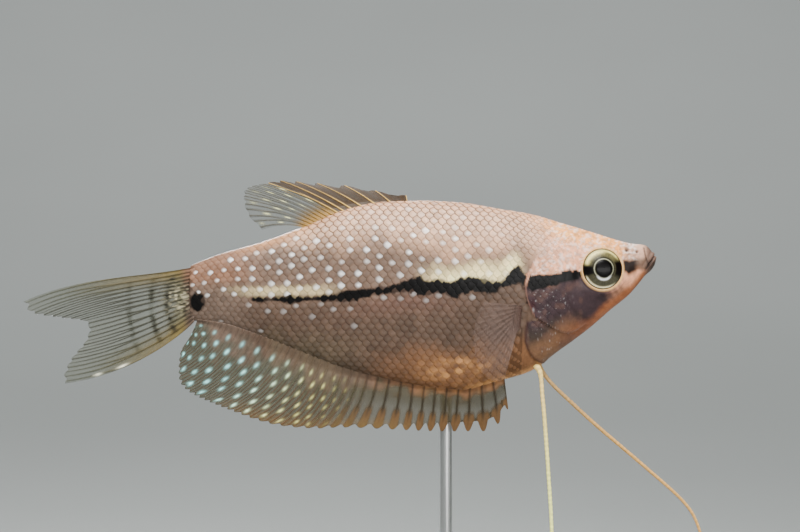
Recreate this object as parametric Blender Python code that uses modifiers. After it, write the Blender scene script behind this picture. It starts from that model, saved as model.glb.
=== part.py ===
# Pearl gourami, a still life-size model on a display stand.
# Sizes are in millimetres and MM turns them into metres as each mesh is made.
# +X points to the head, +Z is up and -Y is the fish's right side, with the floor at Z = 0.
# Along the fish, "behind" is the distance aft of the snout tip and "height" is above that tip.

import math

import bmesh
import bpy
import numpy
from mathutils import Matrix, Vector

MM = 0.001
GAP = 0.3

# Place of the snout tip

SNOUT_X = 43.6
SNOUT_Z = 68.0

# Body profile: behind, top, bottom, half width

BODY_STATIONS = [
    (0.4, 0.6, -0.55, 0.85),
    (1.8, 1.95, -2.6, 1.7),
    (4.0, 2.2, -5.3, 2.35),
    (7.0, 3.0, -7.8, 3.1),
    (10.0, 4.05, -10.4, 3.75),
    (14.5, 5.4, -13.8, 4.5),
    (19.0, 6.7, -17.1, 4.95),
    (23.5, 7.45, -18.5, 5.15),
    (29.5, 8.4, -19.9, 5.15),
    (35.5, 8.7, -19.3, 4.9),
    (41.5, 8.5, -18.1, 4.4),
    (47.5, 7.2, -16.5, 3.75),
    (53.5, 4.6, -14.2, 3.0),
    (59.5, 2.4, -11.9, 2.3),
    (65.5, 0.7, -10.0, 1.65),
    (70.0, -1.05, -9.4, 1.1),
]
BODY_END = 70.0
WIDEST_FROM_TOP = 0.44
KEEL_SHARPNESS = [(0.0, 0.7), (4.0, 0.85), (12.0, 1.1), (70.0, 1.12)]
RING_POINTS = 28
HEAD_RING_STEP = 0.85
TRUNK_RING_STEP = 1.7

# Thin cuts between head, trunk and tail stalk: behind, height

HEAD_CUT = [(16.8, 9.5), (17.6, 3.6), (19.1, -1.0), (19.9, -4.2), (19.6, -7.2), (20.1, -10.2),
            (20.3, -12.6), (19.0, -16.0), (16.6, -19.5)]
STALK_CUT = [(61.7, 6.0), (60.8, -4.8), (61.0, -15.0)]
CUT_STEPS = 34
CUT_HALF_SPAN = 9.0

# Head details

EYE_BEHIND = 8.5
EYE_HEIGHT = -1.65
EYE_RADIUS = 2.92
EYE_RISE = 0.95
EYE_DOME = 0.8
EYE_DEPTH = 2.5
EYE_SIDES = 22
PUPIL_RADIUS = 1.3
PUPIL_RISE = 0.12
EYE_TURN_FORWARD = math.radians(10)
EYE_TURN_UP = math.radians(5)
ORBIT_OUT = 3.3
ORBIT_REACH = (3.3, 4.8)
RIM_THICK = 0.32
MOUTH_CENTRE = (1.35, -1.0)
MOUTH_SLOPE = math.radians(57)
MUZZLE = (1.7, 1.3, 0.75)
MOUTH_SLIT = 0.18
UPPER_LIP = 0.34
LOWER_LIP = 0.28
NOSTRILS = [(3.2, 0.95, 0.26), (4.7, 1.15, 0.3)]
NOSTRIL_DEPTH = 0.5
GILL_RIM = [(18.6, -8.6), (16.6, -10.5), (14.2, -11.1), (12.0, -10.3)]
GILL_RIM_THICK = 0.3
GILL_DOME = (15.6, -4.6, 5.4, 7.0, 0.35)
CHEEK_DOME = (10.4, -6.6, 4.2, 3.4, 0.2)

# Fins: thickness at the root, on a ray and between rays, and how they thin to the edge.
# A spread pairs a ray's root, as a share of the base, with its tip, as a share of the edge.

ROOT_THICK = 1.3
RAY_THICK = 0.85
WEB_THICK = 0.5
EDGE_SHARE = 0.62
ROOT_SHARE = 0.12

# Shortfall of the membrane's edge between two rays, along the fin from its spines to its soft rays

SPINY_NOTCH = [(0.0, 0.16), (0.2, 0.09), (0.34, 0.03), (1.0, 0.02)]

DORSAL_BASE = (37.4, 52.8)
DORSAL_RAYS = 15
DORSAL_EDGE = [(37.6, 9.4), (42.8, 10.2), (46.0, 10.8), (50.9, 11.2), (56.4, 11.6), (58.8, 11.2),
               (61.0, 10.7), (61.9, 9.8), (61.8, 7.9), (61.2, 6.3), (59.2, 4.2)]
DORSAL_SPREAD = [(0.0, 0.0), (0.3, 0.28), (0.75, 0.72), (0.9, 0.83), (1.0, 1.0)]
DORSAL_PLACES = [(0.0, 0.0), (0.21, 0.44), (0.36, 0.62), (1.0, 1.0)]

ANAL_BASE = (22.9, 68.9)
ANAL_RAYS = 40
ANAL_EDGE = [(22.3, -22.6), (23.7, -24.8), (25.5, -25.9), (27.4, -26.0), (33.9, -26.0), (46.0, -25.4),
             (52.0, -25.5), (58.0, -24.8), (64.0, -22.8), (69.3, -20.6), (71.4, -18.9),
             (71.8, -16.8), (71.5, -14.1), (70.5, -12.6)]
ANAL_SPREAD = [(0.0, 0.0), (0.1, 0.117), (0.34, 0.327), (0.5, 0.51), (0.665, 0.715), (0.86, 0.88),
               (1.0, 1.0)]
ANAL_PLACES = [(0.0, 0.0), (0.2, 0.29), (0.31, 0.445), (1.0, 1.0)]
ANAL_BOW = [(0.0, 0.0), (0.35, 0.02), (0.6, 0.095), (0.88, 0.09), (1.0, 0.03)]

CAUDAL_BASE = [(70.6, -1.5), (71.1, -5.3), (70.7, -9.6)]
CAUDAL_RAYS = 16
CAUDAL_EDGE = [(95.5, -6.6), (94.3, -8.3), (90.3, -9.0), (86.4, -9.5), (85.6, -10.6), (86.1, -12.6),
               (88.3, -15.3), (89.3, -17.6), (89.2, -19.0)]
CAUDAL_BOW_TOP = 1.65
CAUDAL_BOW_LOW = -1.7
CAUDAL_SWEEP = 1.4

PECTORAL_ROOT = [(20.9, -7.0), (21.3, -10.2)]
PECTORAL_RAYS = 12
PECTORAL_LENGTH = 11.5
PECTORAL_RISE = (math.radians(4), math.radians(-70))
PECTORAL_FLARE = math.radians(48)

# Thread-like pelvic fins: behind, height and distance out from the middle plane

PELVIC_RIGHT = [(17.6, -17.2, 1.3), (17.3, -20.5, 1.6), (17.0, -24.0, 1.9), (16.5, -31.5, 2.5),
                (16.0, -41.1, 3.3), (16.2, -49.5, 4.0), (17.1, -57.3, 4.6), (18.3, -63.2, 5.0)]
PELVIC_LEFT = [(17.2, -17.0, 1.3), (15.6, -19.0, 1.9), (12.9, -21.6, 2.8), (8.5, -25.6, 4.2),
               (1.1, -31.9, 6.2), (-4.8, -37.2, 7.6), (-7.2, -41.0, 8.2), (-8.2, -46.0, 8.6),
               (-7.8, -51.0, 8.8)]
PELVIC_ROOT_THICK = 1.3
PELVIC_THREAD_THICK = 0.68
PELVIC_TIP_THICK = 0.36

# Display stand

STAND_X = 12.0
STAND_BASE = (64.0, 36.0, 2.7)
STAND_BASE_CORNER = 3.0
STAND_BASE_BEVEL = 0.5
ROD_DIAMETER = 1.8
ROD_Y = 2.4
ROD_IN_BODY = 6.5
ROD_SIDES = 20


def smooth(points):
    """A function through the points, x rising, with cubic pieces that never overshoot."""
    x = numpy.array([p[0] for p in points])
    y = numpy.array([p[1] for p in points])
    step = numpy.diff(x)
    slope = numpy.diff(y) / step
    tangent = numpy.zeros(len(x))
    tangent[0] = slope[0]
    tangent[-1] = slope[-1]
    for i in range(1, len(x) - 1):
        if slope[i - 1] * slope[i] > 0:
            before = 2 * step[i] + step[i - 1]
            after = step[i] + 2 * step[i - 1]
            tangent[i] = (before + after) / (before / slope[i - 1] + after / slope[i])

    def value(at):
        i = int(numpy.clip(numpy.searchsorted(x, at) - 1, 0, len(x) - 2))
        t = (min(max(at, x[0]), x[-1]) - x[i]) / step[i]
        rise = y[i + 1] - y[i]
        bend = t * (1 - t) * ((1 - t) * (tangent[i] * step[i] - rise) - t * (tangent[i + 1] * step[i] - rise))
        return float(y[i] + t * rise + bend)

    return value


def path(points, per_span=12):
    """A function from 0 to 1, even by length, along a smooth line through the points."""
    knots = [numpy.array(p, float) for p in points]
    knots = [2 * knots[0] - knots[1]] + knots + [2 * knots[-1] - knots[-2]]
    dense = []
    for a, b, c, d in zip(knots, knots[1:], knots[2:], knots[3:]):
        for t in numpy.arange(per_span) / per_span:
            dense.append(0.5 * (2 * b + (c - a) * t + (2 * a - 5 * b + 4 * c - d) * t ** 2
                                + (3 * b - a - 3 * c + d) * t ** 3))
    dense = numpy.array(dense + [knots[-2]])
    length = numpy.concatenate([[0], numpy.cumsum(numpy.linalg.norm(numpy.diff(dense, axis=0), axis=1))])
    length /= length[-1]
    return lambda t: [float(numpy.interp(t, length, column)) for column in dense.T]


body_top = smooth([(s[0], s[1]) for s in BODY_STATIONS])
body_bottom = smooth([(s[0], s[2]) for s in BODY_STATIONS])
body_half_width = smooth([(s[0], s[3]) for s in BODY_STATIONS])
keel_sharpness = smooth(KEEL_SHARPNESS)


def place(behind, height, side=0.0):
    """World place, in millimetres, of a point measured from the snout tip."""
    return Vector((SNOUT_X - behind, side, SNOUT_Z + height))


def widest_height(behind):
    top = body_top(behind)
    return top - WIDEST_FROM_TOP * (top - body_bottom(behind))


def dome(behind, height, form):
    """A low swelling: centre behind and height, its two radii, and its rise."""
    far = math.hypot((behind - form[0]) / form[2], (height - form[1]) / form[3])
    return form[4] * (1 - far ** 2) ** 2 if far < 1 else 0.0


def skin_side(behind, height):
    """Distance of the skin from the middle plane."""
    middle = widest_height(behind)
    reach = body_top(behind) - middle if height > middle else middle - body_bottom(behind)
    share = max(0.0, 1 - ((height - middle) / reach) ** 2)
    swell = sum(dome(behind, height, form) for form in (GILL_DOME, CHEEK_DOME))
    skin = body_half_width(behind) * share ** (keel_sharpness(behind) / 2) + swell * math.sqrt(share)
    aft = behind - EYE_BEHIND
    above = height - EYE_HEIGHT
    orbit = ORBIT_OUT + aft * math.tan(EYE_TURN_FORWARD) - above * math.tan(EYE_TURN_UP)
    near, far = ORBIT_REACH
    ease = min(1.0, max(0.0, (far - math.hypot(aft, above)) / (far - near)))
    return skin + (orbit - skin) * ease * ease * (3 - 2 * ease)


def underside(behind, side):
    """Height of the body's lower skin at a distance out from the middle plane."""
    share = (side / body_half_width(behind)) ** (2 / keel_sharpness(behind))
    middle = widest_height(behind)
    return middle - (middle - body_bottom(behind)) * math.sqrt(1 - share)


# Making, joining and cutting objects

def new_collection(name):
    collection = bpy.data.collections.new(name)
    bpy.context.scene.collection.children.link(collection)
    return collection


def new_object(name, mesh, collection):
    thing = bpy.data.objects.new(name, mesh)
    collection.objects.link(thing)
    return thing


def mesh_from_bmesh(name, bm):
    mesh = bpy.data.meshes.new(name)
    bm.to_mesh(mesh)
    bm.free()
    return mesh


def bake(thing):
    """Turns an object and its modifiers into a plain mesh object in the same place."""
    bpy.context.view_layer.update()
    evaluated = thing.evaluated_get(bpy.context.evaluated_depsgraph_get())
    mesh = bpy.data.meshes.new_from_object(evaluated)
    bm = bmesh.new()
    bm.from_mesh(mesh)
    bmesh.ops.remove_doubles(bm, verts=bm.verts, dist=0.002 * MM)
    bm.to_mesh(mesh)
    bm.free()
    if thing.type == 'MESH':
        thing.modifiers.clear()
        thing.data = mesh
        return thing
    name = thing.name
    solid = new_object(name, mesh, thing.users_collection[0])
    solid.matrix_world = thing.matrix_world
    bpy.data.objects.remove(thing)
    solid.name = name
    return solid


def islands(bm):
    """The separate closed surfaces of a bmesh, as lists of faces."""
    left = set(bm.faces)
    found = []
    while left:
        stack = [left.pop()]
        group = []
        while stack:
            face = stack.pop()
            group.append(face)
            for edge in face.edges:
                for other in edge.link_faces:
                    if other in left:
                        left.discard(other)
                        stack.append(other)
        found.append(group)
    return found


def keep_largest(thing):
    bm = bmesh.new()
    bm.from_mesh(thing.data)
    groups = sorted(islands(bm), key=lambda group: sum(face.calc_area() for face in group))
    loose = [face for group in groups[:-1] for face in group]
    bmesh.ops.delete(bm, geom=loose, context='FACES')
    bm.to_mesh(thing.data)
    bm.free()


def shape_with(thing, tools, operation):
    """Fuses the closed tools to an object, or cuts them out of it, and removes them."""
    group = new_collection(thing.name + "_" + operation.lower())
    for tool in tools:
        for owner in list(tool.users_collection):
            owner.objects.unlink(tool)
        group.objects.link(tool)
    boolean = thing.modifiers.new(operation.capitalize(), 'BOOLEAN')
    boolean.operation = operation
    boolean.operand_type = 'COLLECTION'
    boolean.solver = 'EXACT'
    boolean.collection = group
    bake(thing)
    for tool in list(group.objects):
        bpy.data.objects.remove(tool)
    bpy.data.collections.remove(group)
    keep_largest(thing)


def material(name, colour, roughness, metallic=0.0):
    made = bpy.data.materials.new(name)
    made.use_nodes = True
    shader = made.node_tree.nodes["Principled BSDF"]
    shader.inputs["Base Color"].default_value = (*colour, 1.0)
    shader.inputs["Roughness"].default_value = roughness
    shader.inputs["Metallic"].default_value = metallic
    return made


def finish(thing, surface):
    thing.data.materials.clear()
    thing.data.materials.append(surface)
    thing.data.shade_smooth()
    thing.data.set_sharp_from_angle(angle=math.radians(40))


def loft(name, rings, collection):
    """A closed solid through rings of equal point counts, with a flat face on each end ring."""
    bm = bmesh.new()
    rows = [[bm.verts.new(Vector(point) * MM) for point in ring] for ring in rings]
    for low, high in zip(rows, rows[1:]):
        for i in range(len(low)):
            j = (i + 1) % len(low)
            bm.faces.new((low[i], low[j], high[j], high[i]))
    bm.faces.new(rows[0][::-1])
    bm.faces.new(rows[-1])
    bmesh.ops.recalc_face_normals(bm, faces=bm.faces)
    return new_object(name, mesh_from_bmesh(name, bm), collection)


def slab(name, line, collection):
    """A thin curved plate across the body, along a line of (behind, height) points."""
    route = path(line)
    rings = []
    for i in range(CUT_STEPS + 1):
        t = i / CUT_STEPS
        here = Vector(route(t))
        along = (Vector(route(min(1, t + 0.01))) - Vector(route(max(0, t - 0.01)))).normalized()
        off = Vector((-along.y, along.x)) * GAP / 2
        corners = [(here + off, CUT_HALF_SPAN), (here + off, -CUT_HALF_SPAN),
                   (here - off, -CUT_HALF_SPAN), (here - off, CUT_HALF_SPAN)]
        rings.append([place(point.x, point.y, side) for point, side in corners])
    return loft(name, rings, collection)


def tube(name, points, radii, sides, collection):
    """A round rod along world points in millimetres, with its own radius at each point."""
    curve = bpy.data.curves.new(name, 'CURVE')
    curve.dimensions = '3D'
    curve.bevel_depth = MM
    curve.bevel_resolution = sides // 2 - 2
    curve.use_fill_caps = True
    spline = curve.splines.new('POLY')
    spline.points.add(len(points) - 1)
    for knot, point, radius in zip(spline.points, points, radii):
        knot.co = (*(Vector(point) * MM), 1.0)
        knot.radius = radius
    return new_object(name, curve, collection)


# Body

def body_ring(behind, shrink=1.0):
    """Skin points round one upright section; the end sections shrink to round the ends."""
    middle = widest_height(behind)
    ring = []
    for i in range(RING_POINTS):
        turn = 2 * math.pi * i / RING_POINTS
        reach = body_top(behind) - middle if math.cos(turn) > 0 else middle - body_bottom(behind)
        height = middle + reach * math.cos(turn)
        side = math.copysign(skin_side(behind, height), math.sin(turn)) if i % (RING_POINTS // 2) else 0.0
        ring.append(place(behind, middle + (height - middle) * shrink, side * shrink))
    return ring


def make_body(collection):
    """Head, trunk and tail stalk in one piece."""
    start = BODY_STATIONS[0][0]
    head_end = max(behind for behind, _ in HEAD_CUT) + TRUNK_RING_STEP
    head_rings = round((head_end - start) / HEAD_RING_STEP)
    trunk_rings = round((BODY_END - head_end) / TRUNK_RING_STEP)
    stations = [start + (head_end - start) * i / head_rings for i in range(head_rings)]
    stations += [head_end + (BODY_END - head_end) * i / trunk_rings for i in range(trunk_rings + 1)]
    rings = [body_ring(start, 0.55)]
    rings += [body_ring(behind) for behind in stations[1:]]
    tail = body_ring(BODY_END, 0.9)
    rings.append([point - Vector((0.3, 0, 0)) for point in tail])
    return loft("body", rings, collection)


def split_body(body, collection):
    """Parts the body by thin cuts into head, trunk and tail stalk."""
    for name, line in (("head_cut", HEAD_CUT), ("stalk_cut", STALK_CUT)):
        cutter = slab(name, line, collection)
        boolean = body.modifiers.new("Cut", 'BOOLEAN')
        boolean.operation = 'DIFFERENCE'
        boolean.solver = 'EXACT'
        boolean.object = cutter
        bake(body)
        bpy.data.objects.remove(cutter)
    bm = bmesh.new()
    bm.from_mesh(body.data)
    groups = sorted(islands(bm), key=lambda group: -sum(face.calc_area() for face in group))[:3]
    groups.sort(key=lambda group: -max(face.calc_center_median().x for face in group))
    pieces = []
    for name, group in zip(("head", "trunk", "tail_stalk"), groups):
        part = bmesh.new()
        made = {}
        for face in group:
            corners = []
            for vert in face.verts:
                if vert not in made:
                    made[vert] = part.verts.new(vert.co)
                corners.append(made[vert])
            part.faces.new(corners)
        bmesh.ops.recalc_face_normals(part, faces=part.faces)
        pieces.append(new_object(name, mesh_from_bmesh(name, part), collection))
    bm.free()
    bpy.data.objects.remove(body)
    return pieces


# Head details

def eye_frame(side, rise=0.0):
    """Matrix, in metres, whose Z axis looks out of an eye; side is 1 on the left, -1 on the right."""
    gaze = Vector((math.tan(EYE_TURN_FORWARD), side, math.tan(EYE_TURN_UP))).normalized()
    spot = (place(EYE_BEHIND, EYE_HEIGHT, side * ORBIT_OUT) + gaze * rise) * MM
    return Matrix.Translation(spot) @ gaze.to_track_quat('Z', 'Y').to_matrix().to_4x4()


def make_eye(name, side, surface, collection):
    """An eyeball turned about its line of sight, with the pupil a little proud."""
    def front(radius):
        return -EYE_DOME * (radius / EYE_RADIUS) ** 2

    profile = [(0.0, PUPIL_RISE)]
    for share, rise in ((0.6, PUPIL_RISE), (1.0, PUPIL_RISE * 0.6), (1.1, 0.0)):
        profile.append((PUPIL_RADIUS * share, front(PUPIL_RADIUS * share) + rise))
    profile += [(EYE_RADIUS * share, front(EYE_RADIUS * share)) for share in (0.65, 0.82, 0.94)]
    profile += [(EYE_RADIUS, -EYE_DOME - 0.1), (EYE_RADIUS, 0.6 - EYE_DEPTH),
                (EYE_RADIUS * 0.8, -EYE_DEPTH), (0.0, -EYE_DEPTH)]
    bm = bmesh.new()
    verts = [bm.verts.new(Vector((r, 0, z)) * MM) for r, z in profile]
    for a, b in zip(verts, verts[1:]):
        bm.edges.new((a, b))
    eye = new_object(name, mesh_from_bmesh(name, bm), collection)
    screw = eye.modifiers.new("Turn", 'SCREW')
    screw.steps = EYE_SIDES
    screw.render_steps = EYE_SIDES
    screw.axis = 'Z'
    screw.use_merge_vertices = True
    screw.merge_threshold = 0.002 * MM
    eye.matrix_world = eye_frame(side, EYE_RISE)
    finish(eye, surface)
    return eye


def eye_socket(side, collection):
    bm = bmesh.new()
    low = EYE_RISE - EYE_DEPTH - GAP
    high = 3.0
    bmesh.ops.create_cone(bm, cap_ends=True, segments=24, radius1=(EYE_RADIUS + GAP) * MM,
                          radius2=(EYE_RADIUS + GAP) * MM, depth=(high - low) * MM,
                          matrix=Matrix.Translation((0, 0, (high + low) / 2 * MM)))
    socket = new_object("socket", mesh_from_bmesh("socket", bm), collection)
    socket.matrix_world = eye_frame(side)
    return socket


def eye_rim(side, collection):
    """The raised ring round an eye."""
    bpy.ops.mesh.primitive_torus_add(major_segments=26, minor_segments=8,
                                     major_radius=(EYE_RADIUS + GAP + RIM_THICK * 0.7) * MM,
                                     minor_radius=RIM_THICK * MM)
    rim = bpy.context.object
    rim.matrix_world = eye_frame(side)
    for owner in list(rim.users_collection):
        owner.objects.unlink(rim)
    collection.objects.link(rim)
    return rim


def mouth_frame():
    """Matrix, in metres, at the mouth: X runs along the mouth line to its tip, Z up off that line."""
    centre = place(*MOUTH_CENTRE) * MM
    return Matrix.Translation(centre) @ Matrix.Rotation(-MOUTH_SLOPE, 4, 'Y')


def muzzle(collection):
    """The rounded end of both jaws, a flattened ball about the mouth line."""
    bm = bmesh.new()
    bmesh.ops.create_uvsphere(bm, u_segments=24, v_segments=12, radius=MM)
    bmesh.ops.scale(bm, vec=Vector(MUZZLE), verts=bm.verts)
    ball = new_object("muzzle", mesh_from_bmesh("muzzle", bm), collection)
    ball.matrix_world = mouth_frame()
    return ball


def lip(name, thick, above, collection):
    """A lip round the muzzle, from one mouth corner past the front to the other."""
    frame = mouth_frame()
    lift = thick * (0.8 if above else -0.8)
    points = []
    radii = []
    for i in range(15):
        turn = math.pi * (i / 14 - 0.5)
        forward = MUZZLE[0] * math.cos(turn) - thick * 0.4
        across = (MUZZLE[1] - thick * 0.3) * math.sin(turn)
        points.append(frame @ (Vector((forward, across, lift)) * MM) / MM)
        radii.append(thick * (0.5 + 0.5 * math.cos(turn) ** 0.5))
    return bake(tube(name, points, radii, 8, collection))


def gill_rims(collection):
    """The raised lower edge of the gill cover, one on each side."""
    route = path(GILL_RIM)
    rims = []
    for side in (1, -1):
        points = []
        for i in range(11):
            behind, height = route(i / 10)
            points.append(place(behind, height, side * skin_side(behind, height)))
        radii = [GILL_RIM_THICK * math.sin(math.pi * (0.12 + 0.76 * i / 10)) for i in range(11)]
        rims.append(bake(tube("gill_rim", points, radii, 6, collection)))
    return rims


def mouth_slit(collection):
    """The thin gap between the lips, from the front back to the mouth corners."""
    bm = bmesh.new()
    bmesh.ops.create_cube(bm, size=MM, matrix=Matrix.Translation((MUZZLE[0] * MM, 0, 0))
                          @ Matrix.Diagonal((2 * MUZZLE[0], 4 * MUZZLE[1], MOUTH_SLIT, 1)))
    slit = new_object("slit", mesh_from_bmesh("slit", bm), collection)
    slit.matrix_world = mouth_frame()
    return slit


def nostril_pits(collection):
    pits = []
    for side in (1, -1):
        for behind, height, radius in NOSTRILS:
            skin = skin_side(behind, height)
            bm = bmesh.new()
            bmesh.ops.create_cone(bm, cap_ends=True, segments=10, radius1=radius * 0.5 * MM,
                                  radius2=radius * 1.4 * MM, depth=NOSTRIL_DEPTH * 2 * MM)
            pit = new_object("nostril", mesh_from_bmesh("nostril", bm), collection)
            lean = Vector((0.25, side, 0.75)).to_track_quat('Z', 'Y').to_matrix().to_4x4()
            pit.matrix_world = Matrix.Translation(place(behind, height, side * skin) * MM) @ lean
            pits.append(pit)
    return pits


def dress_head(head, collection):
    rims = [eye_rim(side, collection) for side in (1, -1)]
    lips = [lip("upper_lip", UPPER_LIP, True, collection), lip("lower_lip", LOWER_LIP, False, collection)]
    shape_with(head, rims + lips + [muzzle(collection)] + gill_rims(collection), 'UNION')
    sockets = [eye_socket(side, collection) for side in (1, -1)]
    shape_with(head, sockets + nostril_pits(collection) + [mouth_slit(collection)], 'DIFFERENCE')


# Fins

def fin(name, rays, rows, point, surface, collection, notch=lambda u: 0.02, forks=False,
        places=lambda share: share):
    """A rayed fin: point(u, v) is its middle surface, u across the rays and v from root to edge.
    Between two rays the edge falls short by notch(u), a share of the rays' length.
    places turns a ray's share of the count into its share of the base."""
    step = 4 if forks else 2
    columns = (rays - 1) * step + 1
    bm = bmesh.new()
    mesh = bpy.data.meshes.new(name)
    grid = []
    thick = []
    for i in range(columns):
        phase = i % step
        column = []
        for j in range(rows + 1):
            v = j / rows
            ridge = 1.0 if phase == 0 else 0.0
            if forks:
                split = min(1.0, max(0.0, (v - 0.4) / 0.2))
                ridge = (1 - 0.6 * split) if phase == 0 else 0.0
                ridge = 0.3 + 0.6 * split if phase in (1, 3) else ridge
            u = places(i / (columns - 1))
            end = 1 - (notch(u) * (1 - ridge) if v == 1 else 0)
            column.append(bm.verts.new(Vector(point(u, v * end)) * MM))
            blade = (WEB_THICK + (RAY_THICK - WEB_THICK) * ridge) * (1 - (1 - EDGE_SHARE) * v ** 2)
            root = max(0.0, 1 - v / ROOT_SHARE)
            thick.append(blade + (ROOT_THICK - blade) * root)
        grid.append(column)
    for i in range(columns - 1):
        for j in range(rows):
            a, b, c, d = grid[i][j], grid[i + 1][j], grid[i + 1][j + 1], grid[i][j + 1]
            if (i % step) < step / 2:
                bm.faces.new((a, b, c))
                bm.faces.new((a, c, d))
            else:
                bm.faces.new((a, b, d))
                bm.faces.new((b, c, d))
    bm.to_mesh(mesh)
    bm.free()
    blade = new_object(name, mesh, collection)
    group = blade.vertex_groups.new(name="thickness")
    for index, value in enumerate(thick):
        group.add([index], value / ROOT_THICK, 'REPLACE')
    solidify = blade.modifiers.new("Thickness", 'SOLIDIFY')
    solidify.thickness = ROOT_THICK * MM
    solidify.offset = 0.0
    solidify.vertex_group = group.name
    solidify.thickness_vertex_group = 0.0
    finish(blade, surface)
    return blade


dorsal_edge = path(DORSAL_EDGE)
dorsal_spread = smooth(DORSAL_SPREAD)
anal_edge = path(ANAL_EDGE)
anal_spread = smooth(ANAL_SPREAD)
anal_bow = smooth(ANAL_BOW)
caudal_edge = path(CAUDAL_EDGE)
caudal_base = path(CAUDAL_BASE)


def dorsal_point(u, v):
    behind = DORSAL_BASE[0] + (DORSAL_BASE[1] - DORSAL_BASE[0]) * u
    root = place(behind, body_top(behind) + GAP)
    tip = place(*dorsal_edge(dorsal_spread(u)), 0.5 * math.sin(5 * u))
    return root.lerp(tip, v) + Vector((0, 0, 0.5 * u * 4 * v * (1 - v)))


def anal_point(u, v):
    behind = ANAL_BASE[0] + (ANAL_BASE[1] - ANAL_BASE[0]) * u
    root = place(behind, body_bottom(behind) - GAP)
    tip = place(*anal_edge(anal_spread(u)), 0.7 * math.sin(7 * u + 0.6))
    ray = tip - root
    return root.lerp(tip, v) + Vector((-ray.z, 0, ray.x)) * anal_bow(u) * 4 * v * (1 - v)


def caudal_point(u, v):
    root = place(*caudal_base(u))
    tip = place(*caudal_edge(u), CAUDAL_SWEEP)
    lean = 2.0 - 1.15 * u
    rise = (v ** lean) * (1 - v) * 4
    bow = Vector((0, 0, (CAUDAL_BOW_TOP + (CAUDAL_BOW_LOW - CAUDAL_BOW_TOP) * u) * rise))
    bow.y = -CAUDAL_SWEEP * v * (1 - v)
    return root.lerp(tip, v) + bow


def pectoral_point(side):
    """The fan of one pectoral fin, held out from the flank."""
    start = Vector(PECTORAL_ROOT[0])
    end = Vector(PECTORAL_ROOT[1])

    def point(u, v):
        spot = start.lerp(end, u)
        skin = skin_side(spot.x, spot.y) + GAP + ROOT_THICK * 0.5
        root = place(spot.x, spot.y, side * skin)
        rise = PECTORAL_RISE[0] + (PECTORAL_RISE[1] - PECTORAL_RISE[0]) * u
        length = PECTORAL_LENGTH * (0.62 + 0.38 * math.sin(math.pi * (u * 0.9 + 0.05)) ** 0.8)
        out = Vector((-math.cos(PECTORAL_FLARE), side * math.sin(PECTORAL_FLARE), 0)) * math.cos(rise)
        out.z = math.sin(rise)
        bow = Vector((0, side * 0.5 * 4 * v * (1 - v), 0))
        return root + out * length * v + bow

    return point


def pelvic(name, line, side, surface, collection):
    """A long thread with a stouter root just under the skin."""
    behind, _, out = line[0]
    first = (behind, underside(behind, out) - GAP - 0.1, out)
    route = path([first] + line[1:])
    count = 27
    points = []
    radii = []
    for i in range(count):
        t = (i / (count - 1)) ** 1.15
        spot = route(t)
        points.append(place(spot[0], spot[1], side * spot[2]))
        root = max(0.0, 1 - t / 0.08) ** 1.5
        thread = PELVIC_THREAD_THICK + (PELVIC_TIP_THICK - PELVIC_THREAD_THICK) * t ** 2
        radii.append((thread + (PELVIC_ROOT_THICK - thread) * root) / 2)
    thing = bake(tube(name, points, radii, 8, collection))
    finish(thing, surface)
    return thing


# Display stand

def make_stand(trunk, wood, steel, collection):
    bm = bmesh.new()
    bmesh.ops.create_cube(bm, size=1.0)
    bmesh.ops.scale(bm, vec=Vector(STAND_BASE) * MM, verts=bm.verts)
    upright = [edge for edge in bm.edges if abs(edge.verts[0].co.z - edge.verts[1].co.z) > MM]
    bmesh.ops.bevel(bm, geom=upright, offset=STAND_BASE_CORNER * MM, segments=5, profile=0.5,
                    affect='EDGES')
    rims = [edge for edge in bm.edges if edge.verts[0].co.z > 0 and edge.verts[1].co.z > 0]
    bmesh.ops.bevel(bm, geom=rims, offset=STAND_BASE_BEVEL * MM, segments=2, profile=0.5, affect='EDGES')
    base = new_object("stand_base", mesh_from_bmesh("stand_base", bm), collection)
    base.location = Vector((STAND_X, 0, STAND_BASE[2] / 2)) * MM
    finish(base, wood)

    behind = SNOUT_X - STAND_X
    low = STAND_BASE[2] + GAP
    high = SNOUT_Z + underside(behind, ROD_Y) + ROD_IN_BODY
    for name, radius, bottom, top, group in (
            ("stand_rod", ROD_DIAMETER / 2, low, high, collection),
            ("rod_hole", ROD_DIAMETER / 2 + GAP, low, high + GAP, collection)):
        bm = bmesh.new()
        bmesh.ops.create_cone(bm, cap_ends=True, segments=ROD_SIDES, radius1=radius * MM,
                              radius2=radius * MM, depth=(top - bottom) * MM)
        rod = new_object(name, mesh_from_bmesh(name, bm), group)
        rod.location = Vector((STAND_X, ROD_Y, (top + bottom) / 2)) * MM
        if name == "stand_rod":
            finish(rod, steel)
        else:
            shape_with(trunk, [rod], 'DIFFERENCE')


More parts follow.
